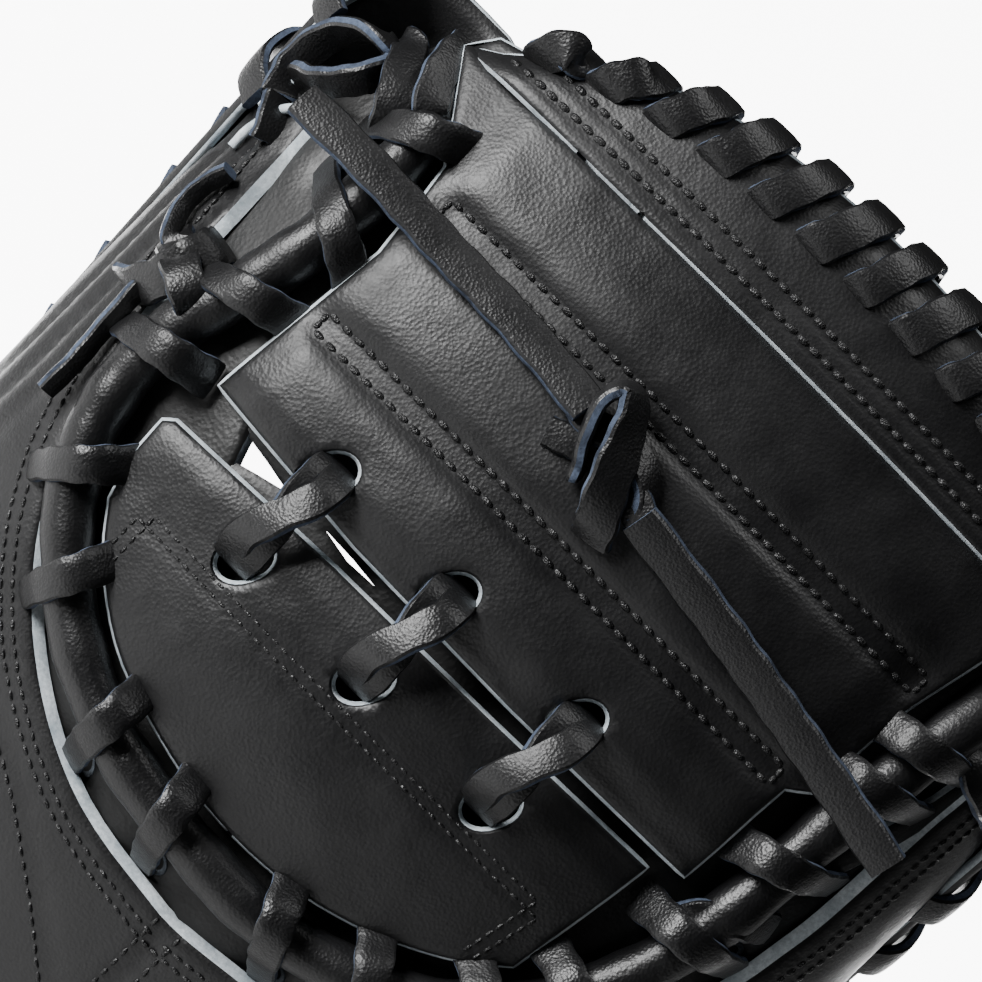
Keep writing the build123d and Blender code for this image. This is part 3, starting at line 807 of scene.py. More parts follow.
# hide stretched round a cord: smoother and shinier
roll_hide = leather("rolled_cowhide", "#0b0b0c", "#131314", grain=0.5, rough=(0.32, 0.44), wrinkle=0.12)
roll_flat = smooth_line([Vector(p) for p in ROLL], 10)
roll_line = [web_point(p[0], p[1], ROLL_DEPTH + (2.6 if p[1] > 30 else 0)) for p in roll_flat]
roll_outs = [local_frame(p[0], p[1])[2] for p in roll_flat]
web_roll = tube("web_rolled_edge", roll_line, roll_outs, ROLL_RADIUS * MM, roll_hide, around=24)


def roll_wrap(index, place, slant):
    """One band of lace over the roll, and the point in the gusset where it goes in."""
    i = min(range(len(roll_flat)), key=lambda k: (roll_flat[k] - Vector(place)).length)
    here = roll_flat[i]
    along = (roll_flat[min(i + 2, len(roll_flat) - 1)] - roll_flat[max(i - 2, 0)]).normalized()
    away = Vector((along[1], -along[0]))
    if away.dot(here - Vector((0, 10))) < 0:
        away = -away
    route = []
    for off, depth, face, slide in (
        (-9.5, 1.2, (-0.2, 1), -0.9), (-6.4, -3.0, (-0.5, 1), -0.6), (-3.2, -7.0, (-0.55, 1), -0.3),
        (0.3, -8.1, (0, 1), 0.0), (3.6, -6.3, (0.75, 0.7), 0.3), (5.7, -2.2, (0.95, 0.4), 0.55),
        (7.4, 1.6, (0.8, 0.6), 0.8), (8.2, 4.2, (0.9, 0.3), 0.95),
    ):
        p = here + away * off + along * slide * slant
        f = away * face[0]
        route.append((p[0], p[1], depth, (f[0], f[1], face[1])))
    hole = here + away * 7.9 + along * 0.9 * slant
    return web_strip(f"roll_wrap_{index}", route, 6.0, 1.7, steps=6, taper=(1.05, 0.72)), hole


WRAPS = [
    (-55, 30, 4), (-55, 12, -5), (-58, -6, 6), (-61.5, -20, 3), (-57, -40, 3), (-46, -53, 3),
    (-28, -63, 3), (-11, -67, 3), (11, -67.3, 3), (27, -62.5, 3), (41, -53, 3), (49, -42, 3),
    (54.5, -25, 3), (57, -8, 4), (58.5, 8, 4), (60.5, 19, 4),
]
left_wraps, right_wraps, gusset_holes = [], [], []
for index, (x, v, slant) in enumerate(WRAPS):
    wrap, hole = roll_wrap(index, (x, v), slant)
    (left_wraps if x < 0 else right_wraps).append(wrap)
    gusset_holes.append(hole)
wraps_left = join_all("web_roll_wraps_finger_side", left_wraps)
wraps_right = join_all("web_roll_wraps_thumb_side", right_wraps)
across_fold(web_roll, "black_leather", "finger_web_roll", "thumb_web_roll")
on_half(wraps_left, "finger_half", "black_rawhide_lace", "finger_web_roll_wraps")
on_half(wraps_right, "thumb_half", "black_rawhide_lace", "thumb_web_roll_wraps")


# ---------------------------------------------------------------------------
# Gusset: the inner leather under the roll, pulled into a dimple with a pale
# cut rim at each hole.
# ---------------------------------------------------------------------------


def skin(s, t, depth):
    """The back's skin by arc lengths in millimetres."""
    return on_bowl(BACK, s * MM, t * MM, depth * MM)


def flat_from_view(x, v):
    """Arc lengths on the back's skin, in millimetres, of the point seen at (x, v) on the web's plane."""
    s = arc_at(BACK, x * MM)
    rho = REACH - section(BACK, s, 0)[1]
    return s / MM, REACH * math.asin(v * MM / rho) / MM


def throat_view(grow):
    """Half of the U of the backs' cut edge as (x, v), from its low middle to its top, moved out by grow."""
    return smooth_line([Vector(p) for p in (
        (0, -79 - grow), (22, -75.5 - grow), (40 + grow * 0.6, -66.5 - grow * 0.8),
        (54 + grow * 0.9, -53 - grow * 0.5),
        (63 + grow, -36 - grow * 0.3), (67.5 + grow, -16), (69 + grow, 2), (71 + grow, 22),
    )], 6)


hole_flat = [flat_from_view(*hole) for hole in gusset_holes]


def gusset_depth(s, t):
    """The gusset's grain side, dimpled at the lace holes."""
    dimple = sum(math.exp(-(((s - a) ** 2 + (t - b) ** 2) / 14)) for a, b in hole_flat)
    return 2.9 + 1.5 * dimple + 0.5 * ripple(s, t, 11.0, 4.0)


gusset_view = [(p[0], p[1]) for p in throat_view(8) if p[1] < -4]
gusset_view += [
    (78.8, 2), (77, 14), (74.5, 26), (65.0, 45.5), (57.0, 46.5), (52, 40), (46, 30), (43.5, 18), (43.5, 4),
]
gusset_view += [(p[0], p[1]) for p in throat_view(-23)[::-1] if p[1] < -2]
gusset_half = [flat_from_view(*p) for p in gusset_view]
last = max(range(len(gusset_view)), key=lambda i: gusset_view[i][1])
ring = [(-s, t) for s, t in gusset_half[:last + 1]][::-1] + gusset_half[1:]
ring += [(-s, t) for s, t in gusset_half[last + 1:-1]][::-1]
# a cut edge that has taken up dye
dark_edge = fibrous("dyed_cut_edge", "#2b2e33", "#6c747c")
gusset = hide_panel("web_gusset", ring, [], skin, gusset_depth, thick=2.0, step=2.0,
                    materials=[hide_soft, dark_edge, hide_soft])


def pale_ring(s, t, long, wide, lean):
    """The pale rim of a punched hole, as a thin ring on the gusset."""
    points, faces, n, m = [], [], 22, 8
    for i in range(n):
        a = 2 * math.pi * i / n
        p, q = math.cos(a), math.sin(a)
        for k in range(m):
            b = 2 * math.pi * k / m
            r = 1 + 0.16 * math.cos(b)
            u, w = p * long / 2 * r, q * wide / 2 * r
            du, dw = u * math.cos(lean) - w * math.sin(lean), u * math.sin(lean) + w * math.cos(lean)
            points.append(skin(s + du, t + dw, gusset_depth(s + du, t + dw) - 0.05 - 0.3 * math.sin(b)))
    for i in range(n):
        for k in range(m):
            a, b = i * m + k, i * m + (k + 1) % m
            c, d = ((i + 1) % n) * m + (k + 1) % m, ((i + 1) % n) * m + k
            faces.append((a, d, c, b))
    return add_mesh("hole_rim", points, faces, [dark_edge])


rims = [pale_ring(s, t, long=5.5, wide=3.6, lean=math.atan2(t, s) + math.pi / 2) for s, t in hole_flat]
left_rims = join_all("gusset_hole_rims_finger_side", [r for r, h in zip(rims, hole_flat) if h[0] < 0])
right_rims = join_all("gusset_hole_rims_thumb_side", [r for r, h in zip(rims, hole_flat) if h[0] >= 0])
across_fold(gusset, "black_leather", "finger_web_gusset", "thumb_web_gusset")
on_half(left_rims, "finger_half", "black_leather")
on_half(right_rims, "thumb_half", "black_leather")


# ---------------------------------------------------------------------------
# Web, pocket side: a second hide panel behind the first, seen as the dark
# ground in the gap under the ties. A wedge beside the first tie is open.
# ---------------------------------------------------------------------------


def pocket_panel_depth(x, v):
    """The pocket-side panel's outer side."""
    return 3.3 + 0.3 * ripple(x, v, 16.0, 8.0)


pocket_corners = [
    (-46.0, 42), (-45.5, 8), (-45.0, -14), (-43.0, -36), (-36, -47), (-24, -53.5), (-10, -56.5),
    (10, -56.5), (24, -53.5), (36, -47), (43.0, -36), (45.0, -14), (45.5, 8), (47.5, 42),
]
wedge = [(-45.0, -19.0), (-38, -20.0), (-32.5, -21.0), (-38, -22.4), (-43.5, -24.0)]
sliver = [(-25.0, -20.9), (-19.0, -21.1), (-14.0, -21.6), (-19.5, -21.9)]
pocket_panel = hide_panel(
    "web_pocket_panel", spread_loop(pocket_corners, 2.0), [spread_loop(wedge, 1.5), spread_loop(sliver, 1.5)],
    web_point, pocket_panel_depth, thick=1.4, step=2.2, materials=[hide_soft, dark_edge, hide_soft],
    flare=0.0,
)
across_fold(pocket_panel, "black_leather", "finger_web_pocket_panel", "thumb_web_pocket_panel")


# ---------------------------------------------------------------------------
# Backs of the hand: the outer hide from heel to finger tips, cut raw along
# the U around the web, with two rows of stitching and creases at the fingers.
# ---------------------------------------------------------------------------
RIM = [(48, 0), (44, 40), (28, 90), (17, 150), (15, 200), (17, 235), (17, 275)]
rim_line = smooth_line([Vector(p) for p in RIM], 24)


def rim_y(z):
    """How far forward the rim is at a height, in millimetres."""
    for a, b in zip(rim_line, rim_line[1:]):
        if a[1] <= z <= b[1]:
            return a[0] + (b[0] - a[0]) * (z - a[1]) / (b[1] - a[1])
    return rim_line[0][0] if z < 0 else rim_line[-1][0]


def crown_x(v):
    """Half the width of the rounded top at a height on the web's plane."""
    return 81 - 5 * ((v - 2) / 24) ** 2 * (1 if v > 2 else 0) if v < 26 else 76 - 10 * ((v - 26) / 20)


def across(bowl, x, depth):
    """The arc length at which a bowl's skin, moved in by depth, is x to the side. Both in metres."""
    low, high = 0.0, 0.16
    for _ in range(30):
        mid = (low + high) / 2
        low, high = (mid, high) if section(bowl, mid, depth)[0] < abs(x) - 1e-7 else (low, mid)
    return math.copysign(low, x)


def level_t(bowl, s, z, depth=0.0):
    """The arc length t, in millimetres, at which a bowl's skin at s is at a height, or None."""
    rho = bowl[3] - section(bowl, s * MM, depth * MM)[1]
    ratio = (z * MM - BOWL_Z - bowl[4]) / rho
    return (math.asin(ratio) - WEB_ANGLE) * REACH / MM if abs(ratio) < 1 else None


def flat_from_level(bowl, x, z):
    """Arc lengths of the point of a bowl's skin at x and a height above the floor, in millimetres."""
    s = across(bowl, x * MM, 0.0) / MM
    return s, level_t(bowl, s, z)


def flat_on(bowl, x, v, depth=0.0):
    """Arc lengths of the point of a bowl's skin seen at (x, v) along the web's normal."""
    s = across(bowl, x * MM, depth * MM)
    rho = bowl[3] - section(bowl, s, depth * MM)[1]
    return s / MM, REACH * math.asin((v * MM - bowl[4] * math.cos(WEB_ANGLE)) / rho) / MM


def rim_s(bowl, t, grow=0.0, depth=0.0):
    """How far round a bowl the rim is, at an arc length t up it."""
    low, high = 5.0, 190.0
    for _ in range(24):
        mid = (low + high) / 2
        p = on_bowl(bowl, mid * MM, t * MM, depth * MM)
        low, high = (mid, high) if p.y / MM < rim_y(p.z / MM) + grow else (low, mid)
    return low


def half_ring(bowl, start, top, throat, grow=0.0, floor=0.0, depth=0.0):
    """Half the outline of a back or palm: along the heel, up the rim, over the top, down the throat."""
    ring, s = list(start), start[-1][0] + 4
    while s < 190:
        t = level_t(bowl, s, floor, depth)
        if t is None or on_bowl(bowl, s * MM, t * MM, depth * MM).y / MM > rim_y(floor) + grow:
            break
        ring.append((s, t))
        s += 4
    wide = bowl[0] / MM - depth - 1.0
    low, high = ring[-1][1], flat_on(bowl, min(crown_x(4), wide), 4, depth)[1]
    for i in range(1, 25):
        t = low + (high - low) * i / 24
        ring.append((rim_s(bowl, t, grow, depth), t))
    ring += [flat_on(bowl, min(crown_x(v) + grow, wide), v, depth) for v in top]
    return ring + throat


def whole_ring(half):
    """A half outline and its mirror image as one loop; its first and last points are on the fold."""
    return half + [(-s, t) for s, t in half[-2:0:-1]]


TIP_CREASES = [(70.8, 0.8), (74.6, 1.0), (77.8, 1.1)]


def shell_depth(s, t):
    """The outer hide's grain side: creases along the little finger, a seam up the middle of the heel."""
    fall = 0.0
    if s < 0 and t > -70:
        for x, deep in TIP_CREASES:
            fall += deep * math.exp(-(((-s - arc_at(BACK, x * MM) / MM) / 1.5) ** 2)) * ease(t, -70, -35)
    fall += 0.8 * math.exp(-(s ** 2)) * (1 - ease(t, -84, -78))
    for a, b in zip(side_seam, side_seam[1:]):
        span = Vector(b) - Vector(a)
        share = min(max((Vector((s, t)) - Vector(a)).dot(span) / span.length_squared, 0), 1)
        away = (Vector((s, t)) - Vector(a) - span * share).length
        if away < 5:
            fall += 0.22 * math.exp(-((away / 0.9) ** 2))
    return fall + 0.5 * ripple(s, t, 24.0, 2.0) + 0.12 * ripple(s, t, 6.0, 5.5)


side_seam = [flat_on(BACK, *p) for p in smooth_line([Vector(p) for p in (
    (-52, -70), (-33, -78), (-20, -87), (-9, -96), (4, -108), (10, -125))], 3)]


def arch(wide, high, count):
    """A quarter of the hand opening's arch in the heel, from its top on the fold down to the floor."""
    angles = [math.pi / 2 * i / count for i in range(count + 1)]
    return [flat_from_level(BACK, wide * math.sin(a), high * math.cos(a)) for a in angles]


throat_flat = [flat_on(BACK, p[0], p[1]) for p in throat_view(0)]
shell_half = half_ring(BACK, arch(44, 66, 14), (8, 12, 16, 20, 22), throat_flat[::-1])
back_shell = hide_panel(
    "back_hide", spread_loop(whole_ring(shell_half), 1.7),
    [], skin, shell_depth, thick=2.4, step=2.1, materials=CUT_HIDE, flare=0.9,
)
places = []
for off in (2.8, 4.6):
    half_row = [flat_on(BACK, min(p[0], 78.6), p[1]) for p in throat_view(off) if p[1] < 19]
    route = [(-s, t) for s, t in half_row[::-1]] + half_row[1:]
    places += stitch_places(route, skin, shell_depth, pitch=2.1)
places += stitch_places([(s - 1.4, t - 1.8) for s, t in side_seam], skin, shell_depth, pitch=2.2)
middle_low, middle_high = flat_from_level(BACK, 0, 68)[1], -81.0
for way in (-2.2, 2.2):
    places += stitch_places([(way, middle_low), (way, middle_high)], skin, shell_depth, pitch=2.4)
back_seams = repeat_piece("back_stitching", places, stitch_shape(length=1.9 * MM, width=0.75 * MM), thread)

# thumb side: a second hide under the outer one, so two cut edges run side by side
facing_view = [
    (60.0, -16), (66.0, -2), (71.5, 14), (73.0, 21), (69.5, 21), (68.0, 14), (62.5, -1), (57.0, -15),
]
facing_flat = [flat_on(BACK, *p) for p in facing_view]
thumb_facing = hide_panel(
    "thumb_facing", spread_loop(facing_flat, 1.0), [], skin, lambda s, t: 1.3 + 0.2 * ripple(s, t, 9.0),
    thick=1.2, step=1.4, materials=[hide_soft, raw_edge, hide_soft], flare=0.5,
)

# white piping that ends beside the finger tips
pipes = []
pipe_runs = (
    ((-77.4, 16.5, -1.2), (-77.6, 19.5, -1.6), (-76.2, 23.0, -2.0), (-73.8, 25.0, -1.5)),
    ((-76.0, 9.0, -0.8), (-76.0, 13.0, -1.4), (-74.6, 17.5, -1.8), (-72.6, 20.0, -1.0)),
)
for n, run in enumerate(pipe_runs):
    line = smooth_line([web_point(*p) for p in run], 6)
    pipes.append(tube(f"piping_{n}", line, [WEB_NORMAL] * len(line), 0.75 * MM, raw_edge, around=10))
piping = join_all("finger_piping", pipes)
across_fold(back_shell, "black_leather", "finger_back_shell", "thumb_back_shell")
across_fold(back_seams, "black_leather")
on_half(thumb_facing, "thumb_half", "black_leather")
on_half(piping, "finger_half", "black_leather")


# ---------------------------------------------------------------------------
# Inner hide of the backs: a soft lining under the outer hide.
# ---------------------------------------------------------------------------


# lining hide, drum dyed and unglazed
lining_hide = leather("black_lining_hide", "#1a1817", "#252321", grain=0.5, rough=(0.55, 0.75), wrinkle=0.5)


def lining_side(s, t):
    """The lining's outer side."""
    return 2.9 + 0.2 * ripple(s, t, 18.0, 9.0)


lining_throat = [flat_on(BACK, min(p[0], 78.5), p[1]) for p in throat_view(10) if p[1] < 10]
lining_half = half_ring(BACK, arch(48, 70, 10), (6,), lining_throat[::-1], -3.0)
back_lining = hide_panel(
    "back_lining", spread_loop(whole_ring(lining_half), 3.5), [], skin, lining_side,
    thick=1.4, step=4.2, materials=[lining_hide] * 3, flare=0.0,
)
across_fold(back_lining, "lining_leather", "finger_back_lining", "thumb_back_lining")


# ---------------------------------------------------------------------------
# Palm side: thick outer hide over a felt pad and a hand lining, one piece of
# each from thumb to finger, bent along the fold.
# ---------------------------------------------------------------------------


def palm_skin(s, t, depth):
    """The palm bowl by arc lengths in millimetres; more depth is further into the pocket."""
    return on_bowl(PALM, s * MM, t * MM, depth * MM)


def palm_panel(name, out, thick, grow, throat_grow, floor, top, material, slots=None, step=4.2, seed=1.0):
    """A layer of the palm whose hand side is at depth out; its pocket side is thick further in."""
    mid = out + thick / 2
    start = [(0.0, level_t(PALM, 0.0, floor, mid))]
    wide = 73.0 - mid
    throat_half = [flat_on(PALM, min(p[0], wide), p[1], mid) for p in throat_view(throat_grow)]
    half = half_ring(PALM, start, top, throat_half[::-1], grow, floor, mid)

    def pocket_side(s, t):
        crease = 1.6 * math.exp(-((s / 2.5) ** 2)) if thick < 5 else 0
        return out - crease + 0.4 * ripple(s, t, 30.0, seed)

    return hide_panel(
        name, spread_loop(whole_ring(half), step * 0.8), [], palm_skin, pocket_side, thick, step,
        slots or [material] * 3, flare=0.0, round_off=0.3,
    )


# pressed wool felt
felt = fibrous("wool_felt", "#6b6862", "#a39f97", scale=900.0)
palm_hide = palm_panel(
    "palm_hide", out=11.9, thick=2.9, grow=0.0, throat_grow=-9.0, floor=0.0, top=(8, 14, 20, 26, 32, 38, 42),
    material=hide, slots=[hide_soft, dark_edge, hide], step=3.0,
)
palm_felt = palm_panel(
    "palm_pad", out=1.9, thick=9.4, grow=-4.0, throat_grow=9.0, floor=47.0, top=(8, 14, 20), material=felt,
    seed=6.0,
)
heel_felt_ring = [(s, level_t(PALM, s, 3.5, 7.0)) for s in (0.0, 8.0, 16.0, 24.0, 32.0)]
heel_felt_ring += [(rim_s(PALM, t, -5.0, 7.0), t) for t in (-244.0, -236.0, -228.0, -220.0, -212.0, -204.0,
                                                            -198.0)]
heel_felt_ring += [(s, level_t(PALM, s, 44.5, 7.0)) for s in (48.0, 36.0, 24.0, 12.0, 0.0)]
heel_felt = hide_panel(
    "heel_pad", spread_loop(whole_ring(heel_felt_ring), 3.0), [],
    palm_skin, lambda s, t: 2.0 + 0.3 * ripple(s, t, 20.0), thick=9.3, step=4.0, materials=[felt] * 3,
    flare=0.0,
)
hand_lining = palm_panel(
    "hand_lining", out=0.1, thick=1.3, grow=-4.0, throat_grow=9.0, floor=3.5, top=(8, 14, 20),
    material=lining_hide, seed=3.0,
)
across_fold(palm_hide, "black_leather", "finger_palm_leather", "thumb_palm_leather")
across_fold(palm_felt, "wool_felt_pad", "finger_palm_pad", "thumb_palm_pad")
across_fold(heel_felt, "wool_felt_pad", "finger_heel_pad", "thumb_heel_pad")
across_fold(hand_lining, "lining_leather", "finger_palm_lining", "thumb_palm_lining")


# ---------------------------------------------------------------------------
# Rim: a folded binding over the edges of back and palm, with flat lace
# looped round it at even steps.
# ---------------------------------------------------------------------------


def crown_shrink(z):
    """How much narrower the rounded top makes the rim at a height."""
    v = (z - WEB_ORIGIN.z / MM - 6) / math.cos(WEB_ANGLE)
    return max(80.5 - crown_x(v), 0) if v > 2 else 0.0


def rim_station(z, way):
    """A cross line of the binding, from the back's skin over the rim to the pocket's."""
    y, narrow = rim_y(z), crown_shrink(z)
    outer, inner = 81.6 - narrow, 58.6 - narrow * 0.8
    line = [(outer - 1.2, y - 11), (outer, y - 9.5), (outer, y - 4), (outer - 0.4, y + 0.2),
            (outer - 3.0, y + 1.9), (outer - 8.0, y + 2.3), (inner + 8.0, y + 2.3), (inner + 3.0, y + 1.9),
            (inner + 0.4, y + 0.2), (inner, y - 4), (inner, y - 9.5), (inner + 1.2, y - 11)]
    return [Vector((way * x * MM, fore * MM, z * MM)) for x, fore in line]


def rim_strip(way, side):
    """The binding of one side."""
    levels = [13 + i * 3.0 for i in range(76)]
    points, faces = [], []
    for z in levels:
        points += rim_station(z + 0.4 * math.sin(z * 0.37), way)
    n = 12
    for i in range(len(levels) - 1):
        for k in range(n - 1):
            quad = (i * n + k, i * n + k + 1, (i + 1) * n + k + 1, (i + 1) * n + k)
            faces.append(quad if way < 0 else quad[::-1])
    made = add_mesh(f"rim_binding_{side}_side", points, faces, [hide, raw_edge], smooth=70)
    thicken = made.modifiers.new("thickness", "SOLIDIFY")
    thicken.thickness, thicken.offset = 1.4 * MM, 1
    thicken.material_offset_rim = 1
    mesh = bpy.data.meshes.new_from_object(made.evaluated_get(bpy.context.evaluated_depsgraph_get()))
    made.modifiers.clear()
    made.data = mesh
    return made


RIM_LOOPS, FIRST_LOOP, LOOP_PITCH = 13, 30.0, 16.5
SUNK_BELOW = 205.0  # lower down on the finger side the lace goes in at the rim's front


def rim_loops(way, side):
    """The flat lace loops of one side's rim."""
    loops = []
    for i in range(RIM_LOOPS):
        z = FIRST_LOOP + i * LOOP_PITCH
        y, narrow = rim_y(z), crown_shrink(z)
        outer, inner = 83.3 - narrow, 57.0 - narrow * 0.8
        rise = 1.5 * math.sin(i * 2.3)
        route = [
            (outer - 4.2, y - 12.5, -3), (outer - 1.0, y - 9.4, -2.4), (outer + 0.4, y - 5, -1.2),
            (outer - 0.5, y + 1.4, 0), (outer - 4, y + 3.6, 0.8), (outer - 12, y + 4.0, 1.4),
            (inner + 4, y + 3.6, 2.0), (inner + 0.5, y + 1.4, 2.6), (inner - 0.4, y - 5, 3.2),
            (inner + 1.2, y - 9.0, 3.8), (inner + 3.6, y - 11.5, 4.2),
        ]
        outs = [(0.6, -0.8), (0.8, -0.6), (1, 0), (0.7, 0.7), (0.25, 1), (0, 1)]
        outs += [(-a, b) for a, b in outs[4::-1]]
        points = [Vector((way * x * MM, fore * MM, (z + up_by + rise) * MM)) for x, fore, up_by in route]
        if way < 0 and z < SUNK_BELOW:
            points, outs = points[3:], outs[3:]
        loops.append(lace_strip(f"rim_loop_{side}_{i}", points, [Vector((way * a, b, 0)) for a, b in outs],
                                6.2 * MM, 2.0 * MM, steps=4))
    return join_all(f"rim_lacing_{side}_side", loops)


rim_bind_left, rim_bind_right = rim_strip(-1, "finger"), rim_strip(1, "thumb")
rim_lace_left, rim_lace_right = rim_loops(-1, "finger"), rim_loops(1, "thumb")
on_half(rim_bind_left, "finger_half", "black_leather", "finger_rim_binding")
on_half(rim_bind_right, "thumb_half", "black_leather", "thumb_rim_binding")
on_half(rim_lace_left, "finger_half", "black_rawhide_lace", "finger_rim_lacing")
on_half(rim_lace_right, "thumb_half", "black_rawhide_lace", "thumb_rim_lacing")


# ---------------------------------------------------------------------------
# Finger tips: where the web's lace is made fast beside the finger backs, two
# turns of lace stand up and their edges show.
# ---------------------------------------------------------------------------
TIP_LACE = 5.6  # it narrows a little where it is pulled tight


def laces(name, routes, thick):
    """One piece of several lace strips, each a route and a width."""
    strips = [web_strip(f"{name}_{i}", route, width, thick, steps=8) for i,
              (route, width) in enumerate(routes)]
    return join_all(name, strips)


tip_routes = [
    [(-72.4, 13.0, 0.5, (1, 0, 0.2)), (-73.8, 16.1, -1.5, (1, 0, 0.2)),
     (-77.0, 20.5, -4.0, (-0.9, 0.3, 0.2)), (-78.3, 24.7, -6.0, (-0.9, 0.4, 0.2)),
     (-77.3, 30.8, -7.0, (-0.7, 0.7, 0.2)), (-74.0, 34.6, -7.0, (-0.2, 1, 0.2)),
     (-70.3, 35.9, -5.0, (0.2, 1, 0.2)), (-67.0, 36.0, 0.5, (0.2, 1, 0.2))],
    [(-76.2, 23.0, -0.5, (-0.4, -0.6, 0.6)), (-74.9, 24.3, -4.0, (-0.2, -1, 0.3)),
     (-72.6, 24.8, -6.0, (0, -1, 0.2)), (-69.8, 27.3, -6.0, (0.5, -0.9, 0.2)),
     (-67.6, 30.3, -5.0, (0.9, -0.4, 0.2)), (-66.6, 33.4, -1.0, (1, 0, 0.3))],
    [(-68.0, 38.0, 1.0, (0, 0, 1)), (-66.5, 37.5, -3.0, (0.2, -0.2, 1)),
     (-64.0, 33.0, -5.0, (0.3, -0.2, 1)), (-61.5, 29.0, -3.5, (0.3, -0.2, 1)),
     (-60.0, 26.0, 1.0, (0.3, -0.4, 1))],
    [(-61.0, 44.0, 1.0, (0, 0, 1)), (-61.0, 41.0, -2.0, (0.2, -0.2, 1)),
     (-60.0, 37.0, -4.0, (0.5, 0, 1)), (-57.5, 33.0, -4.0, (0.5, 0, 1)), (-55.0, 31.5, 0.0, (0.5, 0, 1))],
]
tip_lace = laces("finger_tip_lacing", [(route, TIP_LACE) for route in tip_routes], 2.2)
thumb_routes = [
    [(50.0, -26.0, 3.0, (0.6, 0, 1)), (53.5, -22.0, -2.5, (0.4, 0.2, 1)),
     (57.0, -19.0, -4.5, (0.2, 0.2, 1)), (60.0, -17.5, -2.0, (0.6, 0.1, 1)),
     (62.0, -16.5, 1.5, (0.8, 0.1, 0.6))],
    [(63.5, 25.0, 1.0, (0.2, 0.8, 0.6)), (66.0, 22.0, -3.5, (0.3, 0.3, 1)),
     (69.5, 20.0, -5.5, (0.5, 0.2, 1)), (73.0, 19.0, -4.0, (0.8, 0.2, 0.8)),
     (75.5, 18.5, 0.0, (1, 0.2, 0.3))],
]
thumb_lace = laces("thumb_tip_lacing", [(route, TIP_LACE) for route in thumb_routes], 2.2)
on_half(tip_lace, "finger_half", "black_rawhide_lace")
on_half(thumb_lace, "thumb_half", "black_rawhide_lace")


# ---------------------------------------------------------------------------
# Side knot: the end of the roll's lace, knotted over the finger side of the
# roll, with two short thin ends.
# ---------------------------------------------------------------------------
side_routes = [
    ([(-72.5, -16.0, 1.0, (0, -1, 0.4)), (-70.5, -15.6, -3.5, (-0.3, -0.8, 0.6)),
      (-68.3, -12.5, -6.2, (-0.2, -0.1, 1)), (-67.0, -8.0, -6.6, (0.1, 0.2, 1)),
      (-66.0, -4.0, -4.0, (0.2, 0.8, 0.6)), (-65.5, -2.6, 0.5, (0.2, 1, 0.2))], 6.4),
    ([(-71.5, -6.5, 0.0, (-1, 0.2, 0.3)), (-70.0, -7.5, -4.0, (-0.6, 0.2, 0.7)),
      (-66.5, -9.0, -8.6, (0, 0.1, 1)), (-62.5, -11.0, -6.8, (0.7, 0, 0.7)),
      (-60.5, -12.0, -1.0, (1, 0, 0.2))], 6.0),
    ([(-69.0, -6.0, -2.5, (0.3, 0.2, 1)), (-72.0, -7.0, -4.5, (1, 0.3, 0.2)),
      (-74.2, -2.5, -3.6, (1, 0.1, 0.15)), (-74.2, 2.0, -3.2, (0.9, -0.3, 0.15)),
      (-72.8, 6.2, -3.2, (0.8, -0.5, 0.15))], 3.0),
    ([(-69.5, -13.0, -3.0, (0.3, 0.2, 1)), (-69.6, -17.0, -4.5, (1, 0, 0.15)),
      (-69.2, -24.3, -3.8, (1, 0, 0.1)), (-68.8, -30.0, -4.2, (1, 0, 0.12)),
      (-68.9, -36.0, -5.0, (1, 0, 0.15))], 3.2),
]
side_knot = laces("side_knot_lace", side_routes, 2.0)
on_half(side_knot, "finger_half", "black_rawhide_lace", "side_knot")


# ---------------------------------------------------------------------------
# Long lace over the web: two flat ends of rawhide, about 60 mm each, that
# leave a loose overhand knot. Each is a free cord.
# ---------------------------------------------------------------------------


def cord_line(name, points):
    """The smooth line of a cord through (x, height on the web, lift off the skin), in millimetres."""
    curve = bpy.data.curves.new(name, "CURVE")
    curve.dimensions = "3D"
    spline = curve.splines.new("NURBS")
    spline.points.add(len(points) - 1)
    for spot, (x, v, lift) in zip(spline.points, points):
        spot.co = (*(web_point(x, v, 0) + WEB_NORMAL * lift * MM), 1)
    spline.order_u = 3
    spline.use_endpoint_u = True
    curve.resolution_u = 14
    line = bpy.data.objects.new(name, curve)
    bpy.context.scene.collection.objects.link(line)
    bpy.context.view_layer.update()
    mesh = bpy.data.meshes.new_from_object(line)
    found = [v.co.copy() for v in mesh.vertices]
    bpy.data.objects.remove(line)
    return found


def free_lace(name, points, face):
    """A flat lace along a cord's line, with its face looking one way, cut square at its end."""
    line = cord_line(name + "_line", points)
    outs = [(WEB_NORMAL + ACROSS * face[0] + WEB_UP * face[1]).normalized()] * len(line)
    return lace_strip(name, None, outs, LACE_WIDE * MM, 2.6 * MM, samples=line), line


LACE_WIDE = 6.0
upper_tail = [(-10.4, 18.0, 7.4), (-24, 19.6, 6.4), (-41, 19.8, 7.4), (-57, 20.8, 12.5), (-71, 20.6, 21.0)]
lower_tail = [(5.5, 12.0, 7.4), (20, 10.2, 6.6), (36, 7.6, 7.2), (52, 4.9, 10.5), (66, 2.2, 18.5)]
upper_lace, upper_line = free_lace("web_lace_upper_end", upper_tail, (0.0, 0.35))
lower_lace, lower_line = free_lace("web_lace_lower_end", lower_tail, (0.1, -0.4))

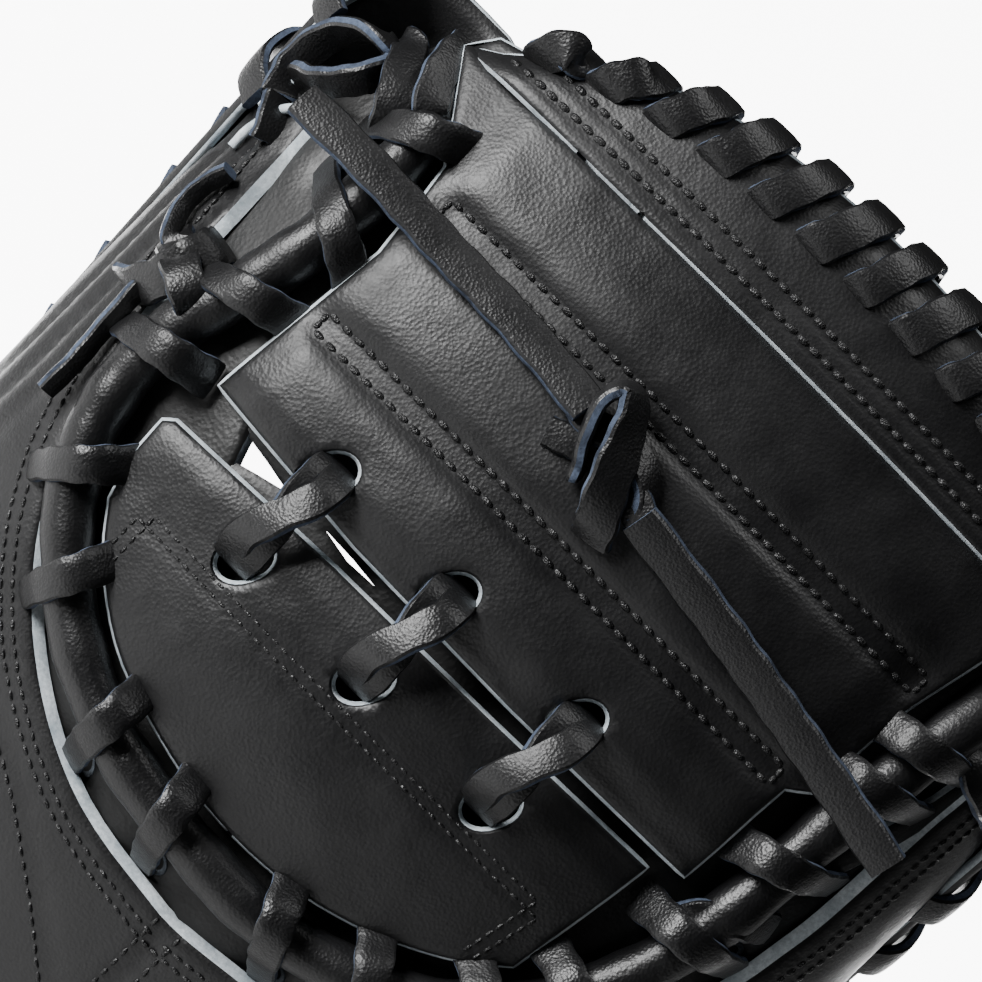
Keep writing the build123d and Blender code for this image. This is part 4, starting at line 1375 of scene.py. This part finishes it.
knot_routes = [
    ([(-5.2, 10.5, -5.0, (-1, 0.2, 0.3)), (-6.6, 12.6, -6.6, (-1, -0.2, 0.2)),
      (-8.3, 15.4, -8.0, (-1, 0.0, 0.15)), (-9.9, 19.8, -8.8, (-1, 0.4, 0.15)),
      (-9.3, 23.0, -9.0, (-0.5, 1, 0.2)), (-7.2, 23.8, -9.2, (0.3, 1, 0.4)),
      (-5.2, 21.2, -9.8, (0.8, 0.6, 0.8)), (-3.0, 16.8, -10.0, (0.5, 0.2, 1)),
      (-0.6, 11.6, -9.4, (0.3, 0.0, 1)), (1.7, 7.4, -7.2, (0.1, -0.5, 0.9)),
      (2.8, 5.2, -4.8, (0, -0.9, 0.5))], 6.4),
    ([(-11.5, 17.4, -5.6, (0, 0.4, 1)), (-8.6, 17.0, -6.0, (0, 0.3, 1)),
      (-4.4, 17.8, -6.4, (0.1, 0.4, 1)), (0.6, 17.6, -6.8, (0.4, 0.5, 0.8)),
      (4.4, 14.4, -6.4, (0.9, 0.3, 0.5)), (5.4, 11.6, -5.4, (0.9, -0.1, 0.5))], 5.0),
    ([(-5.0, 14.0, -5.0, (0, 0, 1)), (-9.0, 12.9, -5.2, (0, 0, 1)), (-12.4, 11.8, -4.9, (0.1, -0.1, 1))],
     4.6),
    ([(-2.0, 14.6, -5.6, (0.1, 0, 1)), (2.0, 13.6, -6.8, (0, -0.2, 1)),
      (6.5, 11.9, -7.3, (0.1, -0.4, 1))], 5.4),
]
web_knot = laces("web_knot_lace", knot_routes, 2.2)
on_half(web_knot, "finger_half", "black_rawhide_lace", "web_knot")
on_half(upper_lace, "finger_half", "black_rawhide_lace", "web_lace_upper_tail")
on_half(lower_lace, "finger_half", "black_rawhide_lace", "web_lace_lower_tail")


# ---------------------------------------------------------------------------
# Wrist strap: a hide strap sewn at the thumb side and closed with hook and
# loop on the finger side, with a pad of fleece under it.
# ---------------------------------------------------------------------------


def level_ring(left, right, low, high):
    """A loop on the back's skin between two levels, from left to right."""
    ring = [flat_from_level(BACK, left + (right - left) * i / 16, low) for i in range(17)]
    return ring + [flat_from_level(BACK, right + (left - right) * i / 16, high) for i in range(17)]


def strap_side(s, t):
    """The strap's grain side, outside the back."""
    return -4.2 + 0.25 * ripple(s, t, 16.0, 2.5)


# fleece with a short pile
pile = fibrous("black_fleece", "#101011", "#2c2c2e", scale=500.0, depth=1.0)
# woven nylon hook tape
tape = fibrous("woven_hook_tape", "#0c0c0d", "#232325", scale=1100.0, depth=1.0)
strap = hide_panel(
    "wrist_strap_hide", spread_loop(level_ring(-64.0, 60.0, 20.0, 50.0), 1.6), [], skin, strap_side,
    thick=2.4, step=2.0, materials=CUT_HIDE,
)
inner_ring = level_ring(-61.5, 57.5, 22.5, 47.5)
strap_rows = stitch_places(inner_ring + inner_ring[:1], skin, strap_side, pitch=2.5)
strap_seams = repeat_piece(
    "wrist_strap_stitching", strap_rows, stitch_shape(length=2.0 * MM, width=0.8 * MM), thread,
)
fleece = hide_panel(
    "wrist_fleece_pad", spread_loop(level_ring(-27.0, 27.0, 22.0, 48.0), 1.6), [], skin,
    lambda s, t: -1.5 + 0.5 * ripple(s, t, 4.0, 2.5), thick=3.8, step=1.8, materials=[pile] * 3, flare=0.0,
)
on_half(strap, "strap", "black_leather", "wrist_strap")
on_half(strap_seams, "strap", "black_leather")
on_half(fleece, "strap", "fleece", "wrist_fleece")

# ---------------------------------------------------------------------------
# Patch, finger loops and dividers: hook tape sewn to the finger back, two
# loops of lace hide, and lining hide between the fingers. The solids as drawn.
# ---------------------------------------------------------------------------
for name, finish in (("strap_patch", tape), ("little_finger_loop", lace_hide), ("thumb_loop", lace_hide),
                     ("finger_stall_dividers", lining_hide), ("thumb_stall_dividers", lining_hide)):
    shown = bpy.data.objects[name]
    shown.data.materials.clear()
    shown.data.materials.append(finish)

# ---------------------------------------------------------------------------
# Light and floor: a white studio, with a broad soft light high on the left and
# a lit white plane behind the mitt that whitens the ground of the main view.
# ---------------------------------------------------------------------------


def soft_light(name, place, aim_at, size, power):
    """An area light that looks at a point."""
    data = bpy.data.lights.new(name, "AREA")
    data.shape, data.size, data.energy = "RECTANGLE", size[0], power
    data.size_y = size[1]
    light = bpy.data.objects.new(name, data)
    bpy.context.scene.collection.objects.link(light)
    light.location = place
    light.rotation_euler = (aim_at - place).to_track_quat("-Z", "Y").to_euler()


for name, rise, side, out, size, power in (
    ("key", 0.55, -0.35, 0.45, (0.45, 0.3), 17), ("rim", 0.45, 0.55, 0.15, (0.4, 0.25), 2.0),
    ("fill", -0.7, -0.3, 0.8, (0.8, 0.8), 0.5),
):
    soft_light(name, WEB_ORIGIN + up * rise + right * side + WEB_NORMAL * out, WEB_ORIGIN, size, power)
world = bpy.data.worlds.new("studio")
world.use_nodes = True
world.node_tree.nodes["Background"].inputs["Color"].default_value = (1, 1, 1, 1)
world.node_tree.nodes["Background"].inputs["Strength"].default_value = 0.02
bpy.context.scene.world = world



def studio_plane(name, wide, near, far, height, finish):
    """A level plane, and its material's shader."""
    paint, _, shader, _ = new_material(finish)
    mesh = bpy.data.meshes.new(name)
    corners = [(-wide, near, height), (wide, near, height), (wide, far, height), (-wide, far, height)]
    mesh.from_pydata(corners, [], [(0, 1, 2, 3)])
    mesh.materials.append(paint)
    plane = bpy.data.objects.new(name, mesh)
    bpy.context.scene.collection.objects.link(plane)
    return shader


floor_shader = studio_plane("floor", 6, -6, 6, 0, "white_studio_floor")
floor_shader.inputs["Base Color"].default_value = (0.92, 0.92, 0.92, 1)
floor_shader.inputs["Roughness"].default_value = 0.8
sweep_shader = studio_plane("white_sweep", 0.27, 0.13, 1, 0.001, "lit_white_sweep")
sweep_shader.inputs["Emission Color"].default_value = (1, 1, 1, 1)
sweep_shader.inputs["Emission Strength"].default_value = 9.0
